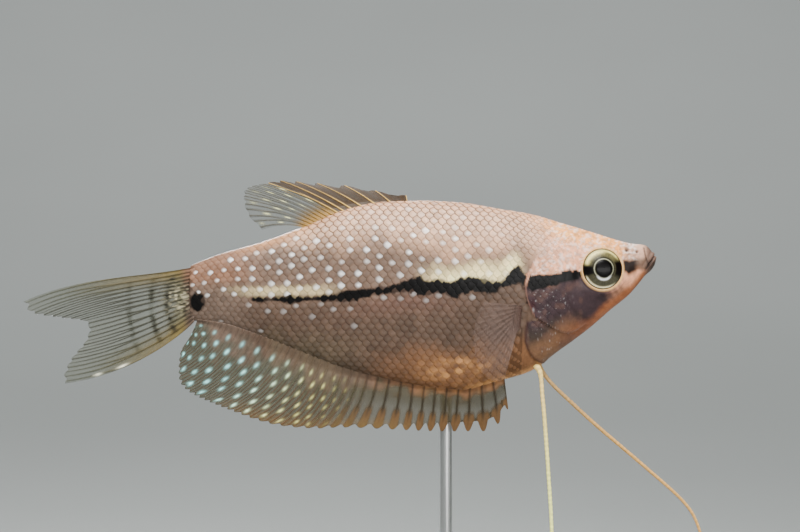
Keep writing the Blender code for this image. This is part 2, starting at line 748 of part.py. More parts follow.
def main():
    for thing in list(bpy.data.objects):
        bpy.data.objects.remove(thing, do_unlink=True)
    fish = new_collection("pearl_gourami")
    flesh = material("skin", (0.55, 0.42, 0.33), 0.4)
    eye_surface = material("eye", (0.72, 0.70, 0.55), 0.15)
    fin_surface = material("fin", (0.62, 0.52, 0.34), 0.45)
    thread_surface = material("pelvic_thread", (0.86, 0.78, 0.52), 0.4)
    wood = material("stand_wood", (0.16, 0.09, 0.05), 0.45)
    steel = material("stand_steel", (0.66, 0.66, 0.66), 0.3, 1.0)

    head, trunk, stalk = split_body(make_body(fish), fish)
    dress_head(head, fish)
    for side, name in ((1, "left"), (-1, "right")):
        make_eye("eye_" + name, side, eye_surface, fish)
        fin("fin_pectoral_" + name, PECTORAL_RAYS, 6, pectoral_point(side), fin_surface, fish)
    spiny = smooth(SPINY_NOTCH)
    fin("fin_dorsal", DORSAL_RAYS, 6, dorsal_point, fin_surface, fish, notch=lambda u: 2 * spiny(u / 2),
        places=smooth(DORSAL_PLACES))
    fin("fin_anal", ANAL_RAYS, 7, anal_point, fin_surface, fish, notch=spiny, places=smooth(ANAL_PLACES))
    fin("fin_caudal", CAUDAL_RAYS, 8, caudal_point, fin_surface, fish, notch=lambda u: 0.015, forks=True)
    pelvic("fin_pelvic_right", PELVIC_RIGHT, -1, thread_surface, fish)
    pelvic("fin_pelvic_left", PELVIC_LEFT, 1, thread_surface, fish)
    make_stand(trunk, wood, steel, fish)
    for piece in (head, trunk, stalk):
        finish(piece, flesh)


main()
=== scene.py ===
# Pearl gourami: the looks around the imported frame.
# Sizes are in millimetres and MM turns them into metres as each mesh is made.
# "behind" is the distance aft of the snout tip, "height" is above that tip and "side" is out from
# the middle plane, with the fish's left at +Y. Where a function takes a side as 1 or -1, 1 is left.

import math

import bmesh
import bpy
import numpy as np
from mathutils import Matrix, Vector


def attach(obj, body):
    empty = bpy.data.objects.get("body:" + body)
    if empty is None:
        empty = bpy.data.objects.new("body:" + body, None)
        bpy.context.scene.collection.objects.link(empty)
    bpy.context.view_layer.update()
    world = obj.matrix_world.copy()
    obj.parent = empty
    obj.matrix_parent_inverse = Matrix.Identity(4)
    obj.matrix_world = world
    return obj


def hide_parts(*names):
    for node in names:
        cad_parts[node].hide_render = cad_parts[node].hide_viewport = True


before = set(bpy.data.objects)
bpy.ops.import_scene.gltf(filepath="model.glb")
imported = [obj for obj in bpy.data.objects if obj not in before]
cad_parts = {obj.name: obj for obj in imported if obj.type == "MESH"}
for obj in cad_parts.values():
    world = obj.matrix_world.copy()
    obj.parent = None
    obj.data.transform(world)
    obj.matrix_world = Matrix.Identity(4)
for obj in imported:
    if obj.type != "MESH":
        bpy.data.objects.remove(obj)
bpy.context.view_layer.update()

MM = 0.001
SIDE_NAMES = {1: "left", -1: "right"}

# Seeds of the noise tables and the scattered spots, so that each run gives the same fish

NOISE_SEEDS = (21, 22, 23)
SCALE_SEEDS = {1: 31, -1: 32}
DORSAL_SEED = 51
ANAL_SEED = 52
NOISE_CELLS = 128

# Body, as in the solids: each station is behind, top, bottom and half width

SNOUT_X = 43.6
SNOUT_Z = 68.0
BODY_STATIONS = [
    (0.4, 0.6, -0.55, 0.85),
    (1.8, 1.95, -2.6, 1.7),
    (4.0, 2.2, -5.3, 2.35),
    (7.0, 3.0, -7.8, 3.1),
    (10.0, 4.05, -10.4, 3.75),
    (14.5, 5.4, -13.8, 4.5),
    (19.0, 6.7, -17.1, 4.95),
    (23.5, 7.45, -18.5, 5.15),
    (29.5, 8.4, -19.9, 5.15),
    (35.5, 8.7, -19.3, 4.9),
    (41.5, 8.5, -18.1, 4.4),
    (47.5, 7.2, -16.5, 3.75),
    (53.5, 4.6, -14.2, 3.0),
    (59.5, 2.4, -11.9, 2.3),
    (65.5, 0.7, -10.0, 1.65),
    (70.0, -1.05, -9.4, 1.1),
]
BODY_START = 0.4
BODY_END = 70.0
WIDEST_FROM_TOP = 0.44
KEEL_SHARPNESS = [(0.0, 0.7), (4.0, 0.85), (12.0, 1.1), (70.0, 1.12)]

# Head, close to the solids: each nostril is behind, height and radius

EYE_BEHIND = 8.5
EYE_HEIGHT = -1.65
EYE_TURN_FORWARD = math.radians(10)
EYE_TURN_UP = math.radians(5)
ORBIT_OUT = 3.3
ORBIT_REACH = (3.3, 4.8)
MOUTH_CENTRE = (1.35, -1.0)
MOUTH_SLOPE = math.radians(57)
MUZZLE = (1.7, 1.35, 0.92)
NOSTRILS = [(3.2, 0.95, 0.2), (4.7, 1.15, 0.26)]
GILL_DOME = (15.6, -4.6, 5.4, 7.0, 0.35)
CHEEK_DOME = (10.4, -6.6, 4.2, 3.4, 0.2)

# Lines on the head as (behind, height): three edges of plates, and a crease ahead of the nostrils whose
# shade is painted as a dark line

GILL_COVER = [(17.6, 2.4), (18.2, 0.9), (18.75, -0.6), (19.4, -1.8), (19.8, -2.85), (20.1, -4.05),
              (19.95, -5.55), (19.5, -7.05), (18.75, -8.55), (17.55, -9.45), (16.05, -10.35),
              (14.25, -11.1), (12.6, -10.9), (10.8, -9.9)]
GILL_MEMBRANE = [(19.6, -7.0), (19.8, -9.3), (20.1, -11.5), (19.8, -13.4), (18.4, -15.3), (16.2, -16.2)]
CHEEK_PLATE = [(11.6, 1.2), (13.6, -1.2), (14.2, -4.0), (13.2, -7.2), (10.8, -9.0), (7.6, -8.2)]
MOUTH_CREASE = [(2.15, 1.75), (1.95, 0.4), (1.45, -1.1)]
COVER_ENDS = -9.3

# Plates that stand out on the head: the line of the edge, its rise and how soon the rise fades

PLATES = ((GILL_COVER, 0.3, 2.4), (GILL_MEMBRANE, 0.2, 2.0), (CHEEK_PLATE, 0.1, 1.6))
LINE_SAMPLES = 160
BATCH = 20000

# Fins and pelvic threads, with the solids' outlines

DORSAL_BASE = (37.4, 52.8)
DORSAL_RAYS = 15
DORSAL_EDGE = [(37.6, 9.4), (42.8, 10.2), (46.0, 10.8), (50.9, 11.2), (56.4, 11.6), (58.8, 11.2),
               (61.0, 10.7), (61.9, 9.8), (61.8, 7.9), (61.2, 6.3), (59.2, 4.2)]
DORSAL_SPREAD = [(0.0, 0.0), (0.3, 0.28), (0.75, 0.72), (0.9, 0.83), (1.0, 1.0)]
DORSAL_PLACES = [(0.0, 0.0), (0.21, 0.44), (0.36, 0.62), (1.0, 1.0)]
DORSAL_NOTCH = [(0.0, 0.34), (0.4, 0.2), (0.62, 0.08), (0.75, 0.02), (1.0, 0.03)]
ANAL_BASE = (22.9, 68.9)
ANAL_RAYS = 40
ANAL_EDGE = [(22.3, -22.6), (23.7, -24.8), (25.5, -25.9), (27.4, -26.0), (33.9, -26.0), (46.0, -25.4),
             (52.0, -25.5), (58.0, -24.8), (64.0, -22.8), (69.3, -20.6), (71.4, -18.9),
             (71.8, -16.8), (71.5, -14.1), (70.5, -12.6)]
ANAL_SPREAD = [(0.0, 0.0), (0.1, 0.117), (0.34, 0.327), (0.5, 0.51), (0.665, 0.715), (0.86, 0.88),
               (1.0, 1.0)]
ANAL_PLACES = [(0.0, 0.0), (0.2, 0.29), (0.31, 0.445), (1.0, 1.0)]
ANAL_BOW = [(0.0, 0.0), (0.35, 0.02), (0.6, 0.095), (0.88, 0.09), (1.0, 0.03)]
ANAL_NOTCH = [(0.0, 0.5), (0.1, 0.28), (0.3, 0.14), (0.45, 0.06), (0.6, 0.03), (1.0, 0.03)]
CAUDAL_BASE = [(70.3, -1.35), (70.6, -5.3), (70.3, -9.5)]
CAUDAL_RAYS = 16
CAUDAL_EDGE = [(95.5, -6.6), (94.3, -8.3), (90.3, -9.0), (86.4, -9.5), (85.6, -10.6), (86.1, -12.6),
               (88.3, -15.3), (89.3, -17.6), (89.2, -19.0)]
CAUDAL_BOW_TOP = 1.65
CAUDAL_BOW_LOW = -1.7
CAUDAL_SWEEP = 1.4
PECTORAL_ROOT = [(20.9, -7.0), (21.3, -10.2)]
PECTORAL_RAYS = 12
PECTORAL_LENGTH = 11.5
PECTORAL_RISE = (math.radians(4), math.radians(-70))
PECTORAL_FLARE = math.radians(48)
PELVIC_RIGHT = [(17.6, -17.2, 1.3), (17.3, -20.5, 1.6), (17.0, -24.0, 1.9), (16.5, -31.5, 2.5),
                (16.0, -41.1, 3.3), (16.2, -49.5, 4.0), (17.1, -57.3, 4.6), (18.3, -63.2, 5.0)]
PELVIC_LEFT = [(17.2, -17.0, 1.3), (15.6, -19.0, 1.9), (12.9, -21.6, 2.8), (8.5, -25.6, 4.2),
               (1.1, -31.9, 6.2), (-4.8, -37.2, 7.6), (-7.2, -41.0, 8.2), (-8.2, -46.0, 8.6),
               (-7.8, -51.0, 8.8)]

# Fin sheets: half thickness of membrane and rays and width of rays, each with its loss to the edge,
# and how much the root swells over which share of the height

MEMBRANE_HALF = (0.07, 0.035)
RAY_HALF = (0.17, 0.12)
RAY_WIDTH = (0.16, 0.08)
ROOT_SWELL = 0.35
ROOT_SHARE = 0.12

# Pelvic threads: points round, and how fast the fine joints follow each other

THREAD_COLUMNS = 16
THREAD_JOINTS = 420

# Markings: the dark stripe as behind, middle height and half height, and the tail spot

STRIPE = [(1.0, -1.0, 0.5), (2.2, -1.1, 0.65), (3.6, -1.2, 0.7), (5.2, -1.3, 0.75), (11.6, -2.3, 0.35),
          (13.2, -2.65, 0.8), (15.4, -3.0, 0.6), (17.2, -3.55, 0.75), (18.8, -3.75, 0.95),
          (20.0, -3.3, 0.7), (21.1, -2.5, 1.0), (22.6, -3.3, 0.7), (23.5, -4.0, 0.4), (24.6, -4.3, 0.75),
          (27.4, -3.95, 0.8), (29.0, -4.3, 1.0), (31.4, -4.6, 0.95), (33.4, -4.05, 0.7),
          (34.4, -4.6, 0.75), (35.6, -4.15, 0.95), (37.4, -4.3, 0.65), (39.2, -4.5, 0.5),
          (42.5, -5.0, 0.45), (46.0, -5.6, 0.65), (49.5, -5.95, 0.4), (51.2, -6.05, 0.14),
          (53.0, -6.05, 0.2), (54.6, -6.1, 0.55), (56.4, -6.1, 0.25), (58.0, -6.15, 0.12),
          (59.6, -6.2, 0.3), (61.5, -6.2, 0.0), (70.0, -6.3, 0.0)]
TAIL_SPOT = (68.85, -6.6, 1.12, 1.5)

# Skin mesh: its ring steps change at the zones, its snout is rounded up to SNOUT_END, and it lies
# COAT_DEPTH under the body's surface where it has scales

SKIN_ZONES = (5.2, 22.6)
SKIN_STEPS = (0.08, 0.14, 0.26)
SKIN_COLUMNS = 168
TABLE_START = 3.0
TABLE_STEP = 0.25
TABLE_TURNS = 361
TABLE_SHARES = 161
SNOUT_END = 4.4
SNOUT_PASSES = 30
MUZZLE_MOST = 1.2
SCALED_FROM = 20.4
COAT_DEPTH = 0.12

# Eye: rings as (radius, rise along the line of sight), for the eyeball and for the rim of the orbit

EYE_COLUMNS = 144
PUPIL_PROFILE = [(0.02, 1.1), (0.45, 1.09), (0.9, 1.04), (1.2, 0.98), (1.3, 0.94), (1.38, 0.9)]
IRIS_SPAN = (1.46, 2.9)
EYE_BACK_PROFILE = [(2.97, 0.16), (3.0, 0.02), (3.0, -0.4), (2.9, -1.2), (2.2, -1.45), (0.05, -1.5)]
RIM_PROFILE = [(2.9, -0.7), (2.93, -0.1), (2.98, 0.06), (3.06, 0.13), (3.16, 0.14), (3.3, 0.09),
               (3.5, 0.0), (3.7, -0.08), (3.9, -0.17), (3.9, -0.7)]

# Stage and lights, in metres and watts: name, place, target, size, power, colour and spread

FLOOR_RADIUS = 0.2
FLOOR_COLUMNS = 96
COVE = 1.3
FISH_MIDDLE = (0.0, 0.0, 0.065)
LIGHTS = [
    ("key", (0.02, -0.42, 0.5), FISH_MIDDLE, (0.35, 0.25), 7.0, (1.0, 0.985, 0.96), 180),
    ("fill", (0.25, -0.55, 0.04), FISH_MIDDLE, (0.5, 0.3), 4.6, (1.0, 0.985, 0.97), 180),
    ("top", (0.0, 0.05, 0.6), FISH_MIDDLE, (0.4, 0.3), 4.0, (1, 1, 1), 180),
    ("far", (-0.15, 0.55, 0.4), FISH_MIDDLE, (0.3, 0.3), 0.9, (1, 1, 1), 45),
    ("wall", (0.0, 0.45, 0.7), (0.0, 1.45, 0.3), (0.5, 0.3), 8.0, (1, 1, 1), 180),
]
AMBIENT = (0.9, 0.93, 0.95)
AMBIENT_STRENGTH = 0.3

# Camera: the frame is 800 pixels of 0.15 mm across, centred ahead of and above the model's middle

PIXEL = 0.15
PICTURE_WIDTH = 800
VIEW_CENTRE = (5.05, 66.8)
LENS = 100.0
SENSOR = 36.0


def smooth(points):
    """A function through the points, x rising, with cubic pieces that never overshoot."""
    x, y = np.array(points, float).T
    step = np.diff(x)
    slope = np.diff(y) / step
    tangent = np.concatenate([slope[:1], np.zeros(len(x) - 2), slope[-1:]])
    for i in range(1, len(x) - 1):
        if slope[i - 1] * slope[i] > 0:
            before = 2 * step[i] + step[i - 1]
            after = step[i] + 2 * step[i - 1]
            tangent[i] = (before + after) / (before / slope[i - 1] + after / slope[i])

    def value(at):
        at = np.clip(at, x[0], x[-1])
        i = np.clip(np.searchsorted(x, at) - 1, 0, len(x) - 2)
        t = (at - x[i]) / step[i]
        rise = y[i + 1] - y[i]
        leave = tangent[i] * step[i] - rise
        arrive = tangent[i + 1] * step[i] - rise
        return y[i] + t * rise + t * (1 - t) * ((1 - t) * leave - t * arrive)

    return value


def path(points, per_span=12):
    """A function from 0 to 1, even by length, along a smooth line through the points."""
    knots = [np.array(p, float) for p in points]
    knots = [2 * knots[0] - knots[1]] + knots + [2 * knots[-1] - knots[-2]]
    dense = []
    for a, b, c, d in zip(knots, knots[1:], knots[2:], knots[3:]):
        for t in np.arange(per_span) / per_span:
            dense.append(0.5 * (2 * b + (c - a) * t + (2 * a - 5 * b + 4 * c - d) * t ** 2
                                + (3 * b - a - 3 * c + d) * t ** 3))
    dense = np.array(dense + [knots[-2]])
    length = np.concatenate([[0], np.cumsum(np.linalg.norm(np.diff(dense, axis=0), axis=1))])
    length /= length[-1]
    return lambda t: np.stack([np.interp(t, length, column) for column in dense.T], axis=-1)


def ease(low, high, value):
    """0 up to low, 1 from high on, and smooth between; low may be above high."""
    t = np.clip((value - low) / (high - low), 0, 1)
    return t * t * (3 - 2 * t)


def bell(value, width):
    """1 at 0, falling to nothing on both sides."""
    return np.exp(-(value / width) ** 2)


class Speckle:
    """Smooth noise from 0 to 1 on a plane, the same each run."""

    def __init__(self, seed):
        self.table = np.random.default_rng(seed).random((NOISE_CELLS, NOISE_CELLS))

    def __call__(self, x, y, size=1.0):
        x, y = np.broadcast_arrays(np.asarray(x) / size, np.asarray(y) / size)
        i, j = np.floor(x).astype(int), np.floor(y).astype(int)
        u, v = x - i, y - j
        u, v = u * u * (3 - 2 * u), v * v * (3 - 2 * v)
        here, there = i % NOISE_CELLS, (i + 1) % NOISE_CELLS
        low, high = (self.table[here, row % NOISE_CELLS] * (1 - u) + self.table[there, row % NOISE_CELLS] * u
                     for row in (j, j + 1))
        return low * (1 - v) + high * v


coarse, fine, streak = (Speckle(seed) for seed in NOISE_SEEDS)

body_top, body_bottom, body_half_width = (
    smooth([(station[0], station[k]) for station in BODY_STATIONS]) for k in (1, 2, 3))
stripe_middle, stripe_half = (smooth([(spot[0], spot[k]) for spot in STRIPE]) for k in (1, 2))
keel_sharpness = smooth(KEEL_SHARPNESS)


def place(behind, height, side):
    """World places, in millimetres, of points measured from the snout tip."""
    return np.stack(np.broadcast_arrays(SNOUT_X - behind, side, SNOUT_Z + height), axis=-1)


def widest_height(behind):
    top = body_top(behind)
    return top - WIDEST_FROM_TOP * (top - body_bottom(behind))


def dome(behind, height, form):
    """A low swelling: centre behind and height, its two radii, and its rise."""
    far = np.hypot((behind - form[0]) / form[2], (height - form[1]) / form[3])
    return form[4] * np.clip(1 - far ** 2, 0, 1) ** 2


def skin_side(behind, height):
    """Distance of the body's surface from the middle plane."""
    middle = widest_height(behind)
    reach = np.where(height > middle, body_top(behind) - middle, middle - body_bottom(behind))
    share = np.clip(1 - ((height - middle) / reach) ** 2, 0, 1)
    swell = dome(behind, height, GILL_DOME) + dome(behind, height, CHEEK_DOME)
    skin = body_half_width(behind) * share ** (keel_sharpness(behind) / 2) + swell * np.sqrt(share)
    aft = behind - EYE_BEHIND
    above = height - EYE_HEIGHT
    orbit = ORBIT_OUT + aft * math.tan(EYE_TURN_FORWARD) - above * math.tan(EYE_TURN_UP)
    return skin + (orbit - skin) * ease(ORBIT_REACH[1], ORBIT_REACH[0], np.hypot(aft, above))


def beside(behind, height, line):
    """Share along a line of (behind, height) points, and distance ahead of it (below 0: aft of it)."""
    spots = path(line)(np.linspace(0, 1, LINE_SAMPLES))
    along = np.gradient(spots, axis=0)
    along /= np.linalg.norm(along, axis=1)[:, None]
    flat = np.stack([np.ravel(behind), np.ravel(height)], axis=-1)
    share, distance = np.empty((2, len(flat)))
    for start in range(0, len(flat), BATCH):
        part = slice(start, start + BATCH)
        gap = flat[part, None] - spots
        nearest = np.argmin((gap ** 2).sum(-1), axis=1)
        off = gap[np.arange(len(nearest)), nearest]
        cross = along[nearest, 1] * off[:, 0] - along[nearest, 0] * off[:, 1]
        share[part] = nearest / (LINE_SAMPLES - 1)
        distance[part] = np.sign(cross) * np.linalg.norm(off, axis=1)
    return share.reshape(np.shape(behind)), distance.reshape(np.shape(behind))


def flap(behind, height, line, rise, fall):
    """Relief of a plate whose edge follows a line: a lip of the given rise that fades ahead of it."""
    share, ahead = beside(behind, height, line)
    live = ease(0.0, 0.22, share) * ease(1.0, 0.88, share)
    return rise * live * ease(-0.05, 0.16, ahead) * np.exp(-np.clip(ahead, 0, None) / fall)


def relief(behind, height):
    """Low plates of the head that stand out from the body's surface."""
    return sum(flap(behind, height, *plate) for plate in PLATES)


# Colours

def srgb(red, green, blue):
    """A pigment, as linear light, for a colour given as 0 to 255 display values. It is deeper and
    more vivid than that colour, because soft light and the picture's tone curve flatten both."""
    value = np.array([red, green, blue]) / 255
    value = np.where(value <= 0.04045, value / 12.92, ((value + 0.055) / 1.055) ** 2.4)
    grey = value @ np.array([0.2126, 0.7152, 0.0722])
    vivid = min(1.05 + 3.2 * grey, 2.6)
    return np.clip(0.8 * grey ** 1.35 * (1 + 0.3 * grey ** 2) * (value / grey) ** vivid, 0, 0.95)


BACK = srgb(211, 192, 176)
BACK_EDGE = srgb(200, 174, 148)
HEAD_TOP = srgb(230, 198, 160)
HEAD_SIDE = srgb(226, 198, 180)
FLANK = srgb(146, 130, 119)
BAND = srgb(252, 238, 212)
BELOW = srgb(122, 105, 93)
BELOW_PINK = srgb(138, 114, 104)
BELLY = srgb(154, 126, 102)
BELLY_GOLD = srgb(224, 198, 166)
LOWER_REAR = srgb(130, 118, 103)
STALK_TOP = srgb(160, 136, 120)
STALK = srgb(136, 122, 112)
CHEEK = srgb(96, 80, 84)
CHEEK_LOW = srgb(98, 87, 81)
THROAT = srgb(150, 126, 106)
JAW = srgb(176, 136, 108)
SNOUT = srgb(206, 188, 176)
LIP = srgb(108, 94, 90)
EDGE_PINK = srgb(182, 160, 150)
GILL_RED = srgb(96, 46, 52)
PEARL = srgb(250, 250, 252)
INK = np.array([0.0012, 0.0008, 0.0008])
STRIPE_BROWN = srgb(62, 42, 32)
PAPER = np.array([0.2, 0.213, 0.208])
# Pelvic threads, root and tip colours. The far thread's pair is a darker copy of the near one's: painted
# shade, as it lies behind the body.
THREAD_NEAR = (srgb(246, 230, 190), srgb(255, 250, 205))
THREAD_FAR_SHADED = (srgb(200, 184, 156), srgb(222, 200, 160))


def mix(first, second, share):
    return first + (second - first) * np.asarray(share)[..., None]


def filled(colour, like):
    """The same colour at each point of a grid."""
    return np.broadcast_to(colour, like.shape + (3,))


def layer(colour, *coats):
    """Lays coats of (colour, share) over a colour, in their order."""
    for coat, share in coats:
        colour = mix(colour, coat, share)
    return colour


def body_colour(behind, height, above, wander):
    """Back, flank, pale band, belly and stalk. "above" is the height over the dark stripe."""
    from_top = body_top(behind) - height
    from_bottom = height - body_bottom(behind)
    rearward = ease(29, 41, behind)
    pink = bell(behind - 38, 8) * bell(above + 2.2, 1.6)
    gold = bell(behind - 29.5, 5.2) * bell(height + 16.6 + 0.08 * (behind - 29.5), 1.7)
    rim = ease(1.1, 0.15, from_bottom) * ease(30, 26, behind) * ease(14, 20, behind)
    front = ease(19.5, 22, behind) * ease(37, 31, behind)
    rear = ease(46, 52, behind) * ease(66, 61, behind) * ease(2.4, 1.1, above)
    band = ease(0.3, 0.9, above) * ease(4.2, 1.6, above + wander)
    stalk = ease(58, 65, behind)
    return layer(
        filled(FLANK, behind),
        (BACK, ease(1.5 + 4.0 * rearward, 7.5 + 3.2 * rearward, above + 2 * wander)),
        (BACK_EDGE, ease(1.8, 0.2, from_top) * 0.75),
        (BELOW, ease(-0.2, -1.6, above + wander)),
        (BELOW_PINK, 0.6 * pink),
        (BELLY, ease(-7.0, -12.0, above + 2.4 * wander) * ease(48, 32, behind)),
        (LOWER_REAR, ease(-3.5, -8.0, above + 2 * wander) * ease(40, 54, behind)),
        (BELLY_GOLD, 0.7 * gold * ease(0.25, 0.75, fine(behind, height, 0.7))),
        (BELLY_GOLD, 0.75 * rim),
        (BAND, band * np.clip(front + 0.55 * rear, 0, 1)),
        (STALK, stalk * ease(2.5, 0.5, above)),
        (STALK_TOP, stalk * ease(1.6, 3.6, above)))


def face_colour(behind, height, above, wander):
    """Crown, cheek, gill cover, throat, snout and lips, with their flecks."""
    from_top = body_top(behind) - height
    from_bottom = height - body_bottom(behind)
    jaw = from_bottom * ease(24, 4, behind)
    bars = 0.5 + 0.5 * np.sin(2 * math.pi * (behind * 0.8 - height * 0.62))
    bars = bars * ease(5.5, 3.0, jaw) * ease(0.8, 2.4, jaw) * ease(4, 6, behind) * ease(15, 11, behind)
    crease_share, crease = beside(behind, height, MOUTH_CREASE)
    red = bell(behind - 19.0, 0.55) * bell(height + 7.2, 1.3)
    upper = ease(-0.6, 0.6, above) * ease(2.5, 4, behind)
    lower = ease(-0.6, -1.6, above)
    flecks = ease(0.5, 0.72, streak(behind * 0.8 + height, height - behind * 0.5, 0.32))
    grain = ease(0.55, 0.8, fine(behind + 0.4 * height, height, 0.3))
    sparkle = ease(0.84, 0.97, fine(behind, height, 0.22)) * lower * ease(12, 14, behind)
    lilac = ease(0.5, 0.8, coarse(behind + 9, height, 0.9)) * lower * ease(10, 12, behind)
    return layer(
        filled(HEAD_SIDE, behind),
        (HEAD_TOP, ease(2.6, 0.2, from_top - 1.2)),
        (CHEEK, ease(0.9, -1.1, above + 1.6 * wander) * ease(4.6, 8.5, behind)),
        (CHEEK_LOW, ease(-5.0, -8.0, above + 1.5 * wander) * ease(9, 13, behind)),
        (THROAT, ease(5.2, 2.2, from_bottom + 1.5 * wander) * ease(11, 16, behind)),
        (JAW, ease(2.2, 0.5, jaw + wander) * ease(17, 8, behind)),
        (CHEEK, 0.4 * bars),
        (SNOUT, ease(6.2, 4.2, behind) * ease(-1.6, -0.4, height - 0.4 * behind + 1.6)),
        (LIP, ease(2.3, 1.3, behind) * 0.8),
        # Painted shade along the crease ahead of the nostrils, which has no relief of its own.
        (STRIPE_BROWN, 0.8 * bell(crease, 0.13) * ease(0, 0.1, crease_share)),
        (GILL_RED, 0.75 * red),
        (PEARL, 0.35 * flecks * upper),
        (STALK, 0.4 * grain * upper),
        (PEARL, 0.2 * sparkle),
        (BELOW_PINK, 0.35 * lilac))


def head_share(behind, height, wander, cover, membrane):
    """1 on the head and 0 on the body: sharp at the gill cover, and soft over the nape."""
    plate = np.where(height > COVER_ENDS, ease(-0.05, 0.1, cover), ease(-0.05, 0.15, membrane))
    plate = np.maximum(plate * (behind < 21), ease(12.5, 10.5, behind))
    soft = ease(19.8, 14.5, behind + 0.8 * wander)
    return soft + (plate - soft) * ease(0.9, -1.2, height)


def stripe_share(behind, height, above, cover):
    """How dark the ragged stripe is. It breaks off at the gill cover's edge and fades on the snout."""
    jag = 0.7 * (fine(behind, height * 0.5, 0.5) - 0.5) + 0.5 * (coarse(behind + 40, height, 1.1) - 0.5)
    half = stripe_half(behind) * 1.2
    soft = 0.12 + 0.3 * ease(7, 5, behind)
    dark = ease(soft, -soft, np.abs(above) - half * (1 + 0.9 * jag) - 0.1) * ease(0.04, 0.2, half)
    dark = dark * (0.7 + 0.3 * ease(2.6, 3.8, behind)) * ease(5.8, 5.1, np.where(behind < 7, behind, 0))
    return dark * ease(0.0, 0.14, np.abs(cover - 0.12) - 0.12)


def paint(behind, height, lined=True):
    """The markings that skin and scales share, as linear colour. The thin lines along the edges of
    the gill cover and its membrane lie on the skin alone, where lined is true."""
    behind, height = np.broadcast_arrays(behind, height)
    above = height - stripe_middle(behind)
    wander = coarse(behind, height, 2.6) - 0.5
    _, cover = beside(behind, height, GILL_COVER)
    _, membrane = beside(behind, height, GILL_MEMBRANE)
    face = face_colour(behind, height, above, wander)
    if lined:
        pale = bell(cover - 0.12, 0.1) * ease(0.6, -1.6, height) * ease(9.5, 13, behind)
        red = bell(membrane - 0.1, 0.25) * ease(-6.5, -8.5, height)
        face = layer(face, (EDGE_PINK, 0.55 * pale), (GILL_RED, 0.5 * red))
    ink = mix(filled(INK, behind), STRIPE_BROWN, 0.9 * ease(7, 5, behind))
    spot = np.hypot((behind - TAIL_SPOT[0]) / TAIL_SPOT[2], (height - TAIL_SPOT[1]) / TAIL_SPOT[3])
    colour = layer(
        body_colour(behind, height, above, wander),
        (face, head_share(behind, height, wander, cover, membrane)),
        (ink, stripe_share(behind, height, above, cover)),
        (INK, ease(1.12, 0.9, spot + 0.2 * (fine(behind, height, 0.5) - 0.5))))
    mottle = 0.8 + 0.4 * (0.4 * coarse(behind, height, 1.7) + 0.6 * fine(behind, height, 0.5))
    return np.clip(colour * mottle[..., None], 0, 1)


# Mesh and material helpers

def new_mesh(name, points, faces, colours=None):
    """A smooth mesh object from points in millimetres, its faces, and a colour for each point, with
    or without an opacity."""
    mesh = bpy.data.meshes.new(name)
    points = np.reshape(points, (-1, 3)) * MM
    sides = faces.shape[1]
    mesh.vertices.add(len(points))
    mesh.vertices.foreach_set("co", points.ravel())
    mesh.loops.add(faces.size)
    mesh.loops.foreach_set("vertex_index", faces.ravel().astype(np.int32))
    mesh.polygons.add(len(faces))
    mesh.polygons.foreach_set("loop_start", np.arange(0, faces.size, sides, dtype=np.int32))
    mesh.polygons.foreach_set("loop_total", np.full(len(faces), sides, np.int32))
    mesh.update(calc_edges=True)
    mesh.validate()
    mesh.shade_smooth()
    if colours is not None:
        colours = np.reshape(colours, (len(points), -1))
        opacity = np.ones((len(points), 4 - colours.shape[1]))
        painted = mesh.color_attributes.new("paint", 'FLOAT_COLOR', 'POINT')
        painted.data.foreach_set("color", np.hstack([colours, opacity]).astype(np.float32).ravel())
    thing = bpy.data.objects.new(name, mesh)
    bpy.context.scene.collection.objects.link(thing)
    return thing


def close(thing, *rings):
    """Closes each ring of point numbers with one face, and turns all faces outward."""
    bm = bmesh.new()
    bm.from_mesh(thing.data)
    bm.verts.ensure_lookup_table()
    for ring in rings:
        bm.faces.new([bm.verts[i] for i in ring])
    bmesh.ops.recalc_face_normals(bm, faces=bm.faces)
    for face in bm.faces:
        face.smooth = True
    bm.to_mesh(thing.data)
    bm.free()


def grid_faces(rows, columns, wrap=False, start=0):
    """Quads over a grid of points numbered row by row."""
    i, j = np.meshgrid(np.arange(rows - 1), np.arange(columns if wrap else columns - 1), indexing="ij")
    k = (j + 1) % columns
    quads = np.stack([i * columns + j, i * columns + k, (i + 1) * columns + k, (i + 1) * columns + j], -1)
    return quads.reshape(-1, 4) + start


def grid_normals(points):
    """Unit normals over a grid of points."""
    normal = np.cross(np.gradient(points, axis=0), np.gradient(points, axis=1))
    return normal / np.maximum(np.linalg.norm(normal, axis=-1, keepdims=True), 1e-9)


def new_tube(name, points, colours):
    """A tube over rows of points, with a face over each end."""
    rows, columns = points.shape[:2]
    tube = new_mesh(name, points, grid_faces(rows, columns, wrap=True), colours)
    last = (rows - 1) * columns
    close(tube, range(columns), range(last + columns - 1, last - 1, -1))
    return tube


def turned(profile, columns):
    """Rings of points about the Z axis from a profile of (radius, level), and each point's radius."""
    radius, level = (np.array(values)[:, None] for values in zip(*profile))
    angle = 2 * math.pi * np.arange(columns) / columns
    radius, level = np.broadcast_arrays(radius, level, angle)[:2]
    return np.stack([radius * np.cos(angle), radius * np.sin(angle), level], axis=-1), radius


def dress(thing, surface, slot_name, *replaced):
    """Gives a piece its material and body, and hides the solids that it stands for. The slot name is not
    used.
    """
    thing.data.materials.clear()
    thing.data.materials.append(surface)
    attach(thing, "root")
    if replaced:
        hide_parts(*replaced)


